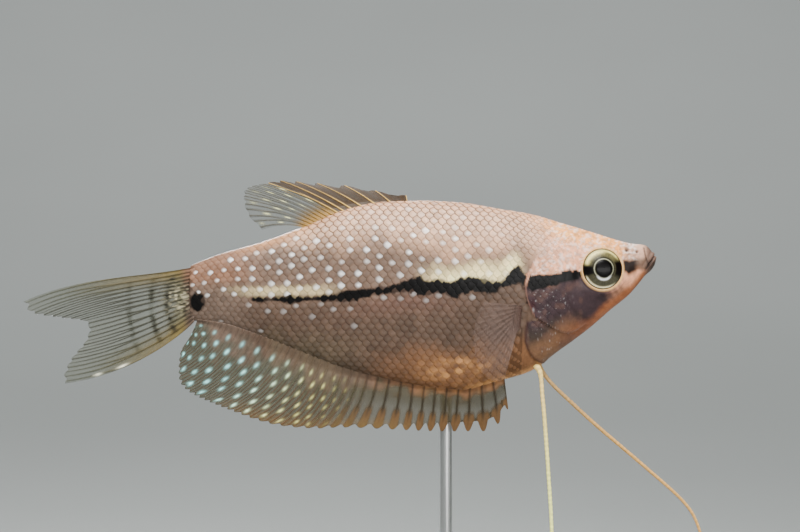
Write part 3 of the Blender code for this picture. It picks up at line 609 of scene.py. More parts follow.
class Nodes:
    """A new node material with a Principled shader and short ways to add to it."""

    def __init__(self, name):
        self.material = bpy.data.materials.new(name)
        self.material.use_nodes = True
        self.tree = self.material.node_tree
        self.shader = self.tree.nodes["Principled BSDF"]

    def feed(self, node, inputs):
        """Links or sets a node's inputs, named with _ for each space."""
        for key, value in inputs.items():
            socket = node.inputs[key.replace("_", " ")]
            if isinstance(value, bpy.types.NodeSocket):
                self.tree.links.new(value, socket)
            else:
                socket.default_value = value

    def add(self, kind, **inputs):
        node = self.tree.nodes.new(kind)
        self.feed(node, inputs)
        return node

    def set(self, **inputs):
        self.feed(self.shader, inputs)

    def noise(self, scale, detail=3.0, roughness=0.55, stretch=(1, 1, 1)):
        spot = self.tree.nodes.new("ShaderNodeTexCoord").outputs["Object"]
        spot = self.add("ShaderNodeMapping", Vector=spot, Scale=stretch).outputs["Vector"]
        return self.add("ShaderNodeTexNoise", Vector=spot, Scale=scale, Detail=detail,
                        Roughness=roughness).outputs["Fac"]

    def ramp(self, value, *stops):
        """Maps a value through stops of (place, brightness or colour)."""
        node = self.add("ShaderNodeValToRGB", Fac=value)
        elements = node.color_ramp.elements
        while len(elements) < len(stops):
            elements.new(0.5)
        for element, (spot, shade) in zip(elements, stops):
            element.position = spot
            element.color = (*np.broadcast_to(shade, 3), 1)
        return node.outputs["Color"]

    def times(self, first, second):
        node = self.tree.nodes.new("ShaderNodeMix")
        node.data_type = 'RGBA'
        node.blend_type = 'MULTIPLY'
        node.inputs["Factor"].default_value = 1.0
        self.tree.links.new(first, node.inputs[6])
        self.tree.links.new(second, node.inputs[7])
        return node.outputs[2]

    def painted(self, scale, detail, *stops):
        """Sets the shader's colour to the painted one times a fine grain, and gives its opacity."""
        node = self.tree.nodes.new("ShaderNodeAttribute")
        node.attribute_name = "paint"
        grain = self.ramp(self.noise(scale, detail), *stops)
        self.set(Base_Color=self.times(node.outputs["Color"], grain))
        return node.outputs["Alpha"]

    def bump(self, height, strength, distance):
        node = self.add("ShaderNodeBump", Height=height, Strength=strength, Distance=distance)
        self.set(Normal=node.outputs["Normal"])


# Skin

def body_table():
    """Heights and side distances over the body: station by station, and from the belly keel at -1
    through the widest line at 0 to the back ridge at 1, even by length along the skin."""
    stations = np.arange(TABLE_START, BODY_END + TABLE_STEP / 2, TABLE_STEP)
    turns = np.linspace(0, math.pi, TABLE_TURNS)
    shares = np.linspace(-1, 1, TABLE_SHARES)
    heights = np.empty((len(stations), len(shares)))
    sides = np.empty_like(heights)
    ups = np.empty(len(stations))
    downs = np.empty(len(stations))
    for n, behind in enumerate(stations):
        middle = widest_height(behind)
        cosine = np.cos(turns)
        reach = np.where(cosine > 0, body_top(behind) - middle, middle - body_bottom(behind))
        height = middle + reach * cosine
        side = skin_side(behind, height)
        length = np.concatenate([[0], np.cumsum(np.hypot(np.diff(height), np.diff(side)))])
        widest = np.interp(math.pi / 2, turns, length)
        ups[n] = widest
        downs[n] = length[-1] - widest
        along = np.where(shares > 0, widest - shares * widest, widest - shares * (length[-1] - widest))
        heights[n] = np.interp(along, length, height)
        sides[n] = np.interp(along, length, side)
    return stations, shares, heights, sides, ups, downs


TABLE = body_table()


def table_reach(behind):
    """Length along the skin from the widest line up to the ridge, and down to the keel."""
    return np.interp(behind, TABLE[0], TABLE[4]), np.interp(behind, TABLE[0], TABLE[5])


def on_body(behind, along):
    """Height and side of a spot "along" millimetres up the skin from the widest line. Past the
    ridge or the keel it goes on down the other side, where the side distance is negative."""
    stations, shares, heights, sides, _, _ = TABLE
    up, down = table_reach(behind)
    share = np.where(along > 0, along / up, along / down)
    over = np.abs(share) > 1
    share = np.where(over, np.sign(share) * 2 - share, share)
    i = np.clip((behind - stations[0]) / (stations[1] - stations[0]), 0, len(stations) - 1.001)
    j = np.clip((share + 1) / 2 * (len(shares) - 1), 0, len(shares) - 1.001)
    i0, j0 = i.astype(int), j.astype(int)
    u, v = i - i0, j - j0

    def look(table):
        low = table[i0, j0] * (1 - u) + table[i0 + 1, j0] * u
        high = table[i0, j0 + 1] * (1 - u) + table[i0 + 1, j0 + 1] * u
        return low * (1 - v) + high * v

    return look(heights), look(sides) * np.where(over, -1.0, 1.0)


def eye_matrix(side):
    """Millimetre matrix at the middle of an orbit, whose Z axis looks out of the eye."""
    gaze = Vector((math.tan(EYE_TURN_FORWARD), side, math.tan(EYE_TURN_UP))).normalized()
    spot = Vector(place(EYE_BEHIND, EYE_HEIGHT, side * ORBIT_OUT))
    return Matrix.Translation(spot) @ gaze.to_track_quat('Z', 'Y').to_matrix().to_4x4()


def mouth_matrix():
    """Millimetre matrix at the mouth: X along the mouth line to its tip, Z up off that line."""
    return Matrix.Translation(Vector(place(*MOUTH_CENTRE, 0.0))) @ Matrix.Rotation(-MOUTH_SLOPE, 4, 'Y')


def out_of(matrix, points):
    """World places of points given in a matrix's own axes."""
    matrix = np.array(matrix)
    return points @ matrix[:3, :3].T + matrix[:3, 3]


def into(matrix, points):
    """Points seen from a matrix's own axes."""
    return out_of(matrix.inverted(), points)


def seen(points):
    """Behind and height of world points."""
    return SNOUT_X - points[..., 0], points[..., 2] - SNOUT_Z


def round_muzzle(points, normals):
    """Moves points of the snout out along their normals to a rounded end of both jaws."""
    local = into(mouth_matrix(), points) / np.array(MUZZLE)
    turn = np.array(mouth_matrix().inverted())[:3, :3]
    lead = (normals @ turn.T) / np.array(MUZZLE)
    a = (lead ** 2).sum(-1)
    b = (local * lead).sum(-1)
    c = (local ** 2).sum(-1) - 1
    root = b * b - a * c
    out = np.where(root > 0, (-b + np.sqrt(np.maximum(root, 0))) / a, 0)
    return points + normals * np.clip(out, 0, MUZZLE_MOST)[..., None]


def lips(points):
    """Relief of the lips round the mouth line, with the line itself sunk between them."""
    local = into(mouth_matrix(), points)
    line = local[..., 2] + 0.1 * bell(local[..., 1], 0.8)
    live = ease(-1.25, -0.3, local[..., 0])
    ridge = 0.12 * bell(line - 0.3, 0.22) + 0.1 * bell(line + 0.27, 0.2)
    behind_lip = -0.06 * bell(line - 0.74, 0.15)
    return live * (ridge + behind_lip - 0.2 * bell(line, 0.09))


def skin_rings():
    """Behind, height and side of points over the body, ring by ring with rounded ends, and the
    number of rings in the snout."""
    ends = (BODY_START, *SKIN_ZONES, BODY_END)
    zones = [np.arange(*zone) for zone in zip(ends, ends[1:], SKIN_STEPS)]
    stations = np.concatenate([*zones, [BODY_END]])
    turns = np.linspace(0, 2 * math.pi, SKIN_COLUMNS, endpoint=False)
    behind, turn = np.meshgrid(stations, turns, indexing="ij")
    middle = widest_height(behind)
    reach = np.where(np.cos(turn) > 0, body_top(behind) - middle, middle - body_bottom(behind))
    height = middle + reach * np.cos(turn)
    side = skin_side(behind, height) * np.sign(np.sin(turn))
    side = np.where(np.abs(np.sin(turn)) < 1e-9, 0, side)

    def end_ring(row, bulge, shrink):
        shift = bulge * math.sqrt(1 - shrink ** 2)
        return np.stack([behind[row] + shift, middle[row] + (height[row] - middle[row]) * shrink,
                         side[row] * shrink])

    front = [end_ring(0, -0.16, shrink) for shrink in (0.06, 0.3, 0.55, 0.75, 0.9)]
    back = [end_ring(-1, 0.3, shrink) for shrink in (0.97, 0.85, 0.6, 0.3, 0.05)]
    rings = np.concatenate([np.array(front), np.stack([behind, height, side], axis=1), np.array(back)])
    snout = int(np.searchsorted(stations, SNOUT_END)) + len(front)
    return rings[:, 0], rings[:, 1], rings[:, 2], snout


def outward(points):
    """Unit normals over closed rings of points, away from each ring's centre."""
    wrapped = np.concatenate([points[:, -1:], points, points[:, :1]], axis=1)
    normal = grid_normals(wrapped)[:, 1:-1]
    centre = points.mean(axis=1, keepdims=True)
    flip = np.sign((normal * (points - centre)).sum(-1, keepdims=True).mean(axis=1, keepdims=True))
    return normal * np.where(flip == 0, 1, flip)


def smooth_snout(points, snout):
    """Evens out the points of the snout in place, less and less towards its last ring."""
    blend = ease(snout, snout - 12, np.arange(1, snout))[:, None, None] * 0.5
    for _ in range(SNOUT_PASSES):
        near = points[:snout + 1]
        around = (np.roll(near, 1, axis=1) + np.roll(near, -1, axis=1)) / 2
        along = (near[:-2] + near[2:]) / 2
        points[1:snout] += blend * ((around[1:-1] + along) / 2 - near[1:-1])


def nostril_pits(behind, height):
    """Relief of the nostrils: a pit with a low rim each."""
    pits = np.zeros(behind.shape)
    for spot_behind, spot_height, radius in NOSTRILS:
        far = np.hypot(behind - spot_behind, height - spot_height)
        pits += -0.3 * bell(far, radius) + 0.07 * bell(far - radius * 1.9, 0.13)
    return pits


def sink_under_eyes(points, side):
    """Sinks the skin behind each eyeball."""
    for sign in SIDE_NAMES:
        matrix = eye_matrix(sign)
        local = into(matrix, points)
        radius = np.hypot(local[..., 0], local[..., 1])
        near = (np.sign(side) == sign) * (np.abs(local[..., 2]) < 2)
        sunk = -1.6 * ease(3.25, 2.8, radius) * near
        points = points + sunk[..., None] * np.array(matrix.to_3x3().col[2])
    return points


def skin_colours(behind, height, points, pits, snout):
    """The markings, darkened as painted shade under the scales, with painted shade along the mouth line and
    in the nostril pits.
    """
    own_behind, own_height = behind.copy(), height.copy()
    own_behind[:snout], own_height[:snout] = seen(points[:snout])
    # Painted shade: the skin under the scales, seen in the gaps between them, is darkened.
    shade_under_scales = np.where((behind > SCALED_FROM)[..., None], 0.55, 1.0)
    local = into(mouth_matrix(), points)
    # Painted shade along the closed mouth line, where the lips meet.
    groove = ease(0.16, 0.04, np.abs(local[..., 2])) * ease(-1.3, -0.5, local[..., 0]) * (behind < 4)
    return layer(paint(own_behind, own_height) * shade_under_scales,
                 (srgb(70, 42, 36), 0.6 * groove),
                 # Painted shade in the nostril pits, darker where they are deeper.
                 (srgb(70, 52, 48), np.clip(-pits * 3, 0, 0.8)))


def make_skin(surface):
    """One closed skin from the lips to the root of the tail fin. It lies under the scales, and is
    level with the solids where the head has none."""
    behind, height, side, snout = skin_rings()
    points = place(behind, height, side)
    normals = outward(points)
    bare = ease(13.0, 8.5, behind + 0.5 * np.clip(height, 0, 4))
    bare = np.maximum(bare, ease(17, 13, behind) * ease(2.6, 1.0, height - body_bottom(behind)))
    points = points + normals * (relief(behind, height) - COAT_DEPTH * (1 - 0.9 * bare))[..., None]
    points[:snout] = round_muzzle(points[:snout], normals[:snout])
    smooth_snout(points, snout)
    normals = outward(points)
    points = points + normals * lips(points)[..., None]
    pits = nostril_pits(behind, height)
    points = sink_under_eyes(points + normals * pits[..., None], side)
    skin = new_tube("skin", points, skin_colours(behind, height, points, pits, snout))
    dress(skin, surface, "skin", "head", "trunk", "tail_stalk")


# Scales

SCALE_PITCH = [(6.0, 0.62), (14.0, 0.8), (19.0, 1.0), (25.0, 1.25), (50.0, 1.25), (62.0, 1.1), (70.0, 0.85)]
ROW_SHARE = 0.7
SCALE_ROWS = 40
SCALE_SIDES = 14
ROUNDNESS = 1.6
SCALE_RINGS = (0.2, 0.46, 0.76, 0.91, 1.0)
SCALE_CENTRE = 0.12
SCALE_SHIFT = -0.1
UNDER_RIM = -1.0
UNDER_MIDDLE = -2.0
NO_PEARL = 99.0
DARK_SUM = 0.1
scale_pitch = smooth(SCALE_PITCH)


def scale_form():
    """One scale as (aft, across, mark) points in pitches, its faces, and each point's share of the
    way from centre to rim. It is a closed, low dome, whose marks tell the underside's points."""
    angle = 2 * math.pi * np.arange(SCALE_SIDES) / SCALE_SIDES
    cosine, sine = np.cos(angle), np.sin(angle)
    size = 1 / (np.abs(cosine) ** ROUNDNESS + np.abs(sine) ** ROUNDNESS) ** (1 / ROUNDNESS)
    outline = np.stack([0.86 * size * cosine, 0.7 * size * sine], axis=-1)
    rings = np.array(SCALE_RINGS)[:, None, None]
    middle = SCALE_CENTRE + (SCALE_SHIFT - SCALE_CENTRE) * rings
    top = (outline * rings + middle * (1, 0)).reshape(-1, 2)
    under = outline * 0.985 + (SCALE_SHIFT, 0)
    flat = np.concatenate([[(SCALE_CENTRE, 0)], top, under, [(SCALE_SHIFT, 0)]])
    mark = np.repeat([0.0, UNDER_RIM, UNDER_MIDDLE], [1 + len(top), SCALE_SIDES, 1])
    share = np.concatenate([[0], np.repeat(SCALE_RINGS, SCALE_SIDES), np.ones(SCALE_SIDES + 1)])
    quads = grid_faces(len(SCALE_RINGS) + 1, SCALE_SIDES, wrap=True, start=1)
    walls = np.stack([quads[:, [0, 3, 2]], quads[:, [0, 2, 1]]], axis=1).reshape(-1, 3)
    j = np.arange(SCALE_SIDES)
    k = (j + 1) % SCALE_SIDES
    crown = np.stack([0 * j, 1 + j, 1 + k], axis=-1)
    last = len(flat) - 1
    floor = np.stack([0 * j + last, 1 + len(top) + k, 1 + len(top) + j], axis=-1)
    return np.column_stack([flat, mark]), np.concatenate([crown, walls, floor]), share


def scale_lattice():
    """Places of the scales of one side as (behind, along) pairs, in offset rows."""
    step = 0.05
    knots = np.arange(5.0, 71.0, step)
    count = np.concatenate([[0], np.cumsum(step / scale_pitch(knots[:-1] + step / 2))])
    spots = []
    for row in range(-SCALE_ROWS, SCALE_ROWS + 1):
        behind = np.interp(np.arange(0, int(count[-1])) + 0.5 * (row % 2), count, knots)
        spots.append(np.stack([behind, row * ROW_SHARE * scale_pitch(behind)], axis=-1))
    spots = np.concatenate(spots)
    up, down = table_reach(spots[:, 0])
    inside = (spots[:, 1] < up + 0.05) & (spots[:, 1] > -down + 0.25)
    return spots[inside & (spots[:, 0] < BODY_END - 0.4)]


def scattered(spots, spacing, rng):
    """Marks a share of the spots so that no two marked ones are closer than the spacing there."""
    marked = np.zeros(len(spots), bool)
    for index in rng.permutation(len(spots)):
        if spacing[index] == NO_PEARL:
            continue
        near = np.hypot(*(spots[marked] - spots[index]).T)
        if not len(near) or near.min() > spacing[index]:
            marked[index] = True
    return marked


def pearls(spots, height, rng):
    """How bright a pearl each scale carries, from 0 to 1."""
    behind = spots[:, 0]
    above = height - stripe_middle(behind)
    spacing = np.full(len(spots), NO_PEARL)
    spacing[(above > 0.5) & (behind > 30)] = 1.45
    spacing[(above > 0.5) & (behind > 21) & (behind <= 30)] = 2.0
    spacing[(above > 0.3) & (above < 1.3) & (behind > 21) & (behind < 66)] = 1.6
    spacing[(above < -0.4) & (above > -2.0) & (behind > 22) & (behind < 62)] = 1.9
    spacing[(above < -2.4) & (above > -5) & (behind > 40)] = 4.0
    spacing[body_top(behind) - height < 1.3] = NO_PEARL
    bright = scattered(spots, spacing, rng) * (0.45 + 0.5 * rng.random(len(spots)))
    fade = np.where(above < -0.4, 0.3, 1.0) * np.where(above > 0, ease(18, 32, behind), 1.0)
    high = ease(3.0, 5.0, body_top(behind) - height)
    return bright * fade * np.where(behind < 50, 0.45 + 0.55 * high, 1.0)


def scale_places():
    """The scales of one side: (behind, along) pairs, heights, distances from the eye, and marks for
    those on the gill cover and for those on the nape. None lie over the edges of the gill cover."""
    spots = scale_lattice()
    behind = spots[:, 0]
    height, _ = on_body(behind, spots[:, 1])
    _, cover = beside(behind, height, GILL_COVER)
    _, membrane = beside(behind, height, GILL_MEMBRANE)
    ahead = np.where(height > -8.0, cover, membrane)
    on_head = (ahead > 0) & (behind < 21.5)
    nape = (height > 2.6) & (behind > 7.5)
    eye = np.hypot(behind - EYE_BEHIND, height - EYE_HEIGHT)
    keep = (np.abs(ahead) > np.where(on_head, 0.85, 0.4) * ease(1.5, -1.0, height)) | (height > 1.2)
    keep &= (eye > 5.0) & (behind > 8.5)
    keep &= ~((height - body_bottom(behind) < 1.6) & (behind < 15))
    return (values[keep] for values in (spots, height, eye, on_head & ~nape, nape))


def turned_scales(form, spots, pitch, tilt):
    """Behind and along of each point of each scale, once the form is sized, tilted and set down."""
    cosine, sine = np.cos(tilt)[:, None], np.sin(tilt)[:, None]
    aft = form[:, 0] * cosine - form[:, 1] * sine
    across = form[:, 0] * sine + form[:, 1] * cosine
    return spots[:, :1] + aft * pitch[:, None], spots[:, 1:] + across * pitch[:, None]


def coat_places(behind, along, side):
    """World places and outward normals of spots on the body."""
    step = 0.12

    def spot(ahead, up):
        height, out = on_body(behind + ahead, along + up)
        return place(behind + ahead, height, out * side)

    points = spot(0, 0)
    normal = np.cross(spot(step, 0) - points, spot(0, step) - points) * side
    return points, normal / np.maximum(np.linalg.norm(normal, axis=-1, keepdims=True), 1e-9)


def scale_levels(form, share, behind, height, eye, pitch, face):
    """Height of each point of each scale over the skin. The aft edge stands off, the closed
    underside lies lower, and scales sink in where they end on the head and under the throat."""
    lift = (1 - 0.6 * face) * np.clip(pitch / 1.25, 0.5, 1.0)
    slope = (form[:, 0] + 0.96) / 1.72
    crown = 0.03 * (1 - share ** 2)
    under = np.where(form[:, 2] == UNDER_RIM, -0.045, 0)
    level = (0.13 * slope + crown - 0.07 + under) * lift[:, None]
    level = np.where(form[:, 2] == UNDER_MIDDLE, -0.12, level)
    from_bottom = height - body_bottom(behind)
    sunk = 0.5 * ease(7.5, 5.2, eye) + 0.6 * ease(11.5, 8.7, behind)
    sunk = sunk + ease(3.2, 1.8, from_bottom) * ease(16, 12, behind)
    sunk = sunk + 0.7 * ease(7, 3, from_bottom) * ease(27, 21, behind)
    return level - 0.06 * np.clip(sunk, 0, 1)[:, None]


def scale_colours(own, colour, form, share, behind, height, face, pearl, tone, spread):
    """Colour, and share of pearl and sheen, of each point of each scale: mostly one tone on each, with a
    dark outline along its free edge, a paler middle of painted sheen, and a pearl on some."""
    dark = own.sum(-1) < DARK_SUM
    colour = colour + (own[:, None, :] - colour) * (0.35 * (1 - face) * ~dark)[:, None, None]
    colour = colour * (1 + 0.3 * (tone - 0.5))[:, None, None]
    above = height - stripe_middle(behind)
    back = ease(8.0, 1.5, body_top(behind) - height) * ease(13, 20, behind) * ease(58, 50, behind)
    outline = ease(0.74, 0.95, share) * ease(-0.5, 0.0, form[:, 0])
    deep = (0.16 + 0.56 * back + 0.14 * ease(0, 1, above)) * (1 - 0.55 * face)
    colour = colour * (1 - outline * deep[:, None])[..., None]
    # Painted sheen: a pale middle on each scale, strongest on the back; the real pearls are laid over it
    # below.
    pearl_and_sheen = ease(0.8, 0.1, share) * ((0.02 + 0.12 * back) * (1 - 0.5 * face))[:, None]
    reach = np.hypot((form[:, 0] - SCALE_CENTRE) / 0.42, form[:, 1] / 0.34) / (0.75 + 0.5 * spread)[:, None]
    dot = 0.65 * ease(1.1, 0.3, reach) + 0.35 * ease(1.8, 0.4, reach)
    pearl_and_sheen = np.maximum(pearl_and_sheen, dot * pearl[:, None])
    pearl_and_sheen = np.where((colour.sum(-1) < 0.12) | dark[:, None], 0.0, pearl_and_sheen)
    colour = mix(colour, PEARL, pearl_and_sheen)
    return np.concatenate([np.clip(colour, 0, 1), pearl_and_sheen[..., None]], axis=-1)


def coat_map(spots, form, side):
    """A place on the map for each point of each scale, laid out like the fish, left below right."""
    home = np.stack([0.02 + 0.96 * spots[:, 0] / 74, (0.26 if side > 0 else 0.76) + spots[:, 1] / 19 * 0.22],
                    axis=-1)
    return home[:, None] + form[:, :2] * 0.0018


def set_map(thing, uv_of_point):
    """Gives a mesh the UV map OFBake from one place for each point."""
    mesh = thing.data
    uv_layer = mesh.uv_layers.new(name="OFBake")
    index = np.empty(len(mesh.loops), np.int32)
    mesh.loops.foreach_get("vertex_index", index)
    uv_layer.data.foreach_set("uv", uv_of_point[index].astype(np.float32).ravel())


def make_scales(side, surface):
    """The scales of one side, in five joined pieces."""
    rng = np.random.default_rng(SCALE_SEEDS[side])
    spots, height, eye, covered, nape = scale_places()
    behind, along = spots.T
    pearl = pearls(spots, height, rng)
    size, turn, tone, spread = (rng.random(len(spots)) for _ in range(4))
    pitch = scale_pitch(behind) * (1 + 0.06 * (size - 0.5))
    face = np.maximum(covered * ease(2.6, 0.6, height), ease(19.5, 13, behind) * 0.8)
    form, faces, share = scale_form()
    at_behind, at_along = turned_scales(form, spots, pitch, (turn - 0.5) * 0.16)
    at_height, _ = on_body(at_behind, at_along)
    points, normal = coat_places(at_behind, at_along, side)
    level = scale_levels(form, share, behind, height, eye, pitch, face)
    points = points + normal * (level + relief(at_behind, at_height) - COAT_DEPTH)[..., None]
    colours = scale_colours(paint(behind, height, lined=False), paint(at_behind, at_height, lined=False),
                            form, share, behind, height, face, pearl, tone, spread)
    uv = coat_map(spots, form, side)
    head = covered | (nape & (behind < 20))
    front, upper = behind < 42, along >= 0
    groups = {"head": head, "front_upper": ~head & front & upper, "rear_upper": ~head & ~front & upper,
              "rear_lower": ~head & ~front & ~upper, "front_lower": ~head & front & ~upper}
    for label, group in groups.items():
        first = np.arange(group.sum()) * len(form)
        group_faces = (faces + first[:, None, None]).reshape(-1, 3)[:, ::side]
        piece = new_mesh(f"scales_{SIDE_NAMES[side]}_{label}", points[group], group_faces,
                         colours[group].reshape(-1, 4))
        set_map(piece, uv[group].reshape(-1, 2))
        dress(piece, surface, "skin")


# Materials

def skin_material(name, pearly):
    """Moist fish skin: the painted markings, fine mottling and a thin wet coat. Pearly skin takes its metal
    sheen from the painted opacity, which holds the pearls and the painted sheen on the scales' middles."""
    nodes = Nodes(name)
    pearl_and_sheen = nodes.painted(2600, 4, (0.25, 0.8), (0.75, 1.15))
    nodes.set(Roughness=nodes.ramp(nodes.noise(1400, 3), (0.3, 0.34), (0.75, 0.55)))
    if pearly:
        sheen = nodes.add("ShaderNodeMath", Value=pearl_and_sheen)
        sheen.operation = 'MULTIPLY'
        sheen.inputs[1].default_value = 0.15
        nodes.set(Metallic=sheen.outputs[0])
    nodes.set(Specular_IOR_Level=0.14, Coat_Weight=0.04, Coat_Roughness=0.2, Subsurface_Weight=0.06,
              Subsurface_Radius=(0.0012, 0.0006, 0.0004))
    nodes.bump(nodes.noise(3800, 3), 0.25, 0.00004)
    return nodes.material


def fin_material(name):
    """Thin fin membrane, as clear as the painted opacity says."""
    nodes = Nodes(name)
    nodes.set(Alpha=nodes.painted(2200, 3, (0.3, 0.85), (0.7, 1.12)))
    nodes.set(Roughness=0.45, Specular_IOR_Level=0.25, Coat_Weight=0.08, Coat_Roughness=0.2)
    nodes.bump(nodes.noise(4200, 2), 0.2, 0.00003)
    return nodes.material


def eye_material():
    nodes = Nodes("gourami_eye")
    nodes.painted(3600, 4, (0.3, 0.8), (0.7, 1.15))
    nodes.set(Roughness=0.32, Specular_IOR_Level=0.1, Coat_Weight=0.05, Coat_Roughness=0.03)
    return nodes.material


def wood_material():
    """Oiled dark hardwood with long grain along the base."""
    nodes = Nodes("stand_oiled_wood")
    rings = nodes.noise(60, 6, 0.6, (1, 9, 3))
    pores = nodes.noise(900, 3, 0.6, (0.12, 1, 1))
    colour = nodes.ramp(rings, (0.3, srgb(44, 26, 16)), (0.55, srgb(88, 54, 34)), (0.7, srgb(62, 36, 22)))
    nodes.set(Base_Color=nodes.times(colour, nodes.ramp(pores, (0.35, 0.45), (0.55, 1.0))))
    nodes.set(Roughness=nodes.ramp(pores, (0.3, 0.62), (0.7, 0.36)), Coat_Weight=0.2, Coat_Roughness=0.25)
    nodes.bump(pores, 0.3, 0.00008)
    return nodes.material


def steel_material():
    nodes = Nodes("stand_brushed_steel")
    lines = nodes.noise(1500, 3, 0.5, (1, 1, 0.03))
    nodes.set(Base_Color=nodes.ramp(lines, (0.3, 0.42), (0.7, 0.62)), Metallic=1.0,
              Roughness=nodes.ramp(lines, (0.3, 0.24), (0.7, 0.42)))
    nodes.bump(lines, 0.15, 0.00003)
    return nodes.material


def paper_material():
    nodes = Nodes("studio_paper")
    shade = nodes.ramp(nodes.noise(6, 2), (0.3, PAPER * 0.97), (0.7, PAPER * 1.02))
    nodes.set(Base_Color=shade, Roughness=0.95, Specular_IOR_Level=0.1)
    return nodes.material


# Eyes

def make_eye(side, surface):
    """An eyeball as rings about its line of sight, with its iris painted by angle and radius."""
    iris_rings = [(r, 0.95 - 0.72 * (r / 2.92) ** 2) for r in np.linspace(*IRIS_SPAN, 26)]
    local, radius = turned(PUPIL_PROFILE + iris_rings + EYE_BACK_PROFILE, EYE_COLUMNS)
    points = out_of(eye_matrix(side), local)
    behind, height = seen(points)
    turn = np.degrees(np.arctan2(height - EYE_HEIGHT, EYE_BEHIND - behind))
    eye = new_tube("eyeball_" + SIDE_NAMES[side], points, iris(radius, turn))
    dress(eye, surface, "eye", "eye_" + SIDE_NAMES[side])


def near_angle(turn, middle, half, soft=10):
    """1 within half a span of degrees of a middle angle, and 0 past its soft ends."""
    gap = np.abs((turn - middle + 180) % 360 - 180)
    return ease(half + soft, half - soft, gap)


def iris(r, turn):
    """Colour of the eye at a radius and an angle, 0 ahead, 90 up and 180 aft."""
    low = near_angle(turn, -85, 30, 20)
    crescent = bell(r - (1.5 + 0.12 * low), 0.14) * near_angle(turn, -85, 40, 16)
    olive = layer(
        filled(srgb(100, 97, 78), r),
        (srgb(136, 131, 104), near_angle(turn, 75, 60, 30) * ease(1.6, 2.3, r)),
        (srgb(104, 102, 88), near_angle(turn, -85, 55, 25) * ease(1.7, 2.2, r)))
    return layer(
        olive * (0.75 + 0.5 * streak(turn / 3.0, r * 3))[..., None],
        (srgb(240, 234, 200), near_angle(turn, 126, 40, 14) * bell(r - 2.6, 0.32)),
        (srgb(222, 216, 180), near_angle(turn, 66, 34, 20) * bell(r - 2.7, 0.16)),
        (srgb(236, 232, 214), near_angle(turn, -118, 60, 16) * bell(r - 2.78, 0.13)),
        (INK, near_angle(turn, 186, 20, 8) * ease(1.45, 1.6, r)),
        (srgb(34, 24, 22), near_angle(turn, 2, 30, 12) * ease(1.75, 2.05, r)),
        (srgb(214, 214, 202), bell(r - 1.45, 0.05) * 0.85),
        (srgb(52, 50, 42), bell(r - 1.68, 0.09) * 0.7),
        (srgb(252, 252, 250), crescent),
        (INK, ease(1.36, 1.27, r)),
        (srgb(52, 46, 40), ease(2.86, 2.94, r)))


def make_eye_rim(side, surface):
    """The pale rim of the orbit, a low ring that closes the skin round the eyeball."""
    local, radius = turned(RIM_PROFILE, EYE_COLUMNS)
    points = out_of(eye_matrix(side), local)
    colours = layer(paint(*seen(points)),
                    (srgb(230, 210, 178), ease(3.0, 3.06, radius) * ease(3.5, 3.14, radius) * 0.8),
                    (srgb(58, 46, 40), ease(3.04, 2.96, radius)))
    faces = grid_faces(len(RIM_PROFILE) + 1, EYE_COLUMNS, wrap=True) % radius.size
    rim = new_mesh("eye_rim_" + SIDE_NAMES[side], points, faces, colours)
    close(rim)
    dress(rim, surface, "skin")


# Fins: each point function gives world places from u, root line to root line, and v, root to edge

dorsal_edge, anal_edge, caudal_edge, caudal_base = (
    path(line) for line in (DORSAL_EDGE, ANAL_EDGE, CAUDAL_EDGE, CAUDAL_BASE))
dorsal_spread, anal_spread, anal_bow = (smooth(knots) for knots in (DORSAL_SPREAD, ANAL_SPREAD, ANAL_BOW))


def chord(root, tip, v):
    return root + (tip - root) * v[..., None]


def dorsal_point(u, v):
    behind = DORSAL_BASE[0] + (DORSAL_BASE[1] - DORSAL_BASE[0]) * u
    root = place(behind, body_top(behind) - 0.35, 0.0)
    edge = dorsal_edge(dorsal_spread(u))
    tip = place(edge[..., 0], edge[..., 1], 0.5 * np.sin(5 * u))
    points = chord(root, tip, v)
    points[..., 2] += 0.5 * u * 4 * v * (1 - v)
    return points


def anal_point(u, v):
    behind = ANAL_BASE[0] + (ANAL_BASE[1] - ANAL_BASE[0]) * u
    root = place(behind, body_bottom(behind) + 0.4, 0.0)
    edge = anal_edge(anal_spread(u))
    tip = place(edge[..., 0], edge[..., 1], 0.7 * np.sin(7 * u + 0.6))
    points = chord(root, tip, v)
    ray = tip - root
    bow = anal_bow(u) * 4 * v * (1 - v)
    points[..., 0] -= ray[..., 2] * bow
    points[..., 2] += ray[..., 0] * bow
    return points


def caudal_point(u, v):
    base = caudal_base(u)
    edge = caudal_edge(u)
    root = place(base[..., 0] - 0.9, base[..., 1], 0.0)
    points = chord(root, place(edge[..., 0], edge[..., 1], CAUDAL_SWEEP), v * 0.99)
    bow = CAUDAL_BOW_TOP + (CAUDAL_BOW_LOW - CAUDAL_BOW_TOP) * u
    points[..., 2] += bow * v ** (2.0 - 1.15 * u) * (1 - v) * 4
    points[..., 1] -= CAUDAL_SWEEP * v * (1 - v)
    return points


def pectoral_point(side):
    first, last = np.array(PECTORAL_ROOT)

    def point(u, v):
        spot = first + (last - first) * u[..., None]
        skin = skin_side(spot[..., 0], spot[..., 1]) - 0.1
        root = place(spot[..., 0], spot[..., 1], side * skin)
        rise = PECTORAL_RISE[0] + (PECTORAL_RISE[1] - PECTORAL_RISE[0]) * u
        length = PECTORAL_LENGTH * (0.62 + 0.38 * np.sin(math.pi * (u * 0.9 + 0.05)) ** 0.8)
        out = np.stack([-math.cos(PECTORAL_FLARE) * np.cos(rise),
                        side * math.sin(PECTORAL_FLARE) * np.cos(rise), np.sin(rise)], axis=-1)
        points = root + out * (length * v)[..., None]
        points[..., 1] += side * 0.5 * 4 * v * (1 - v)
        return points

    return point


def tapered(size, v):
    """A size at the root less what it loses out to the edge."""
    return size[0] - size[1] * v


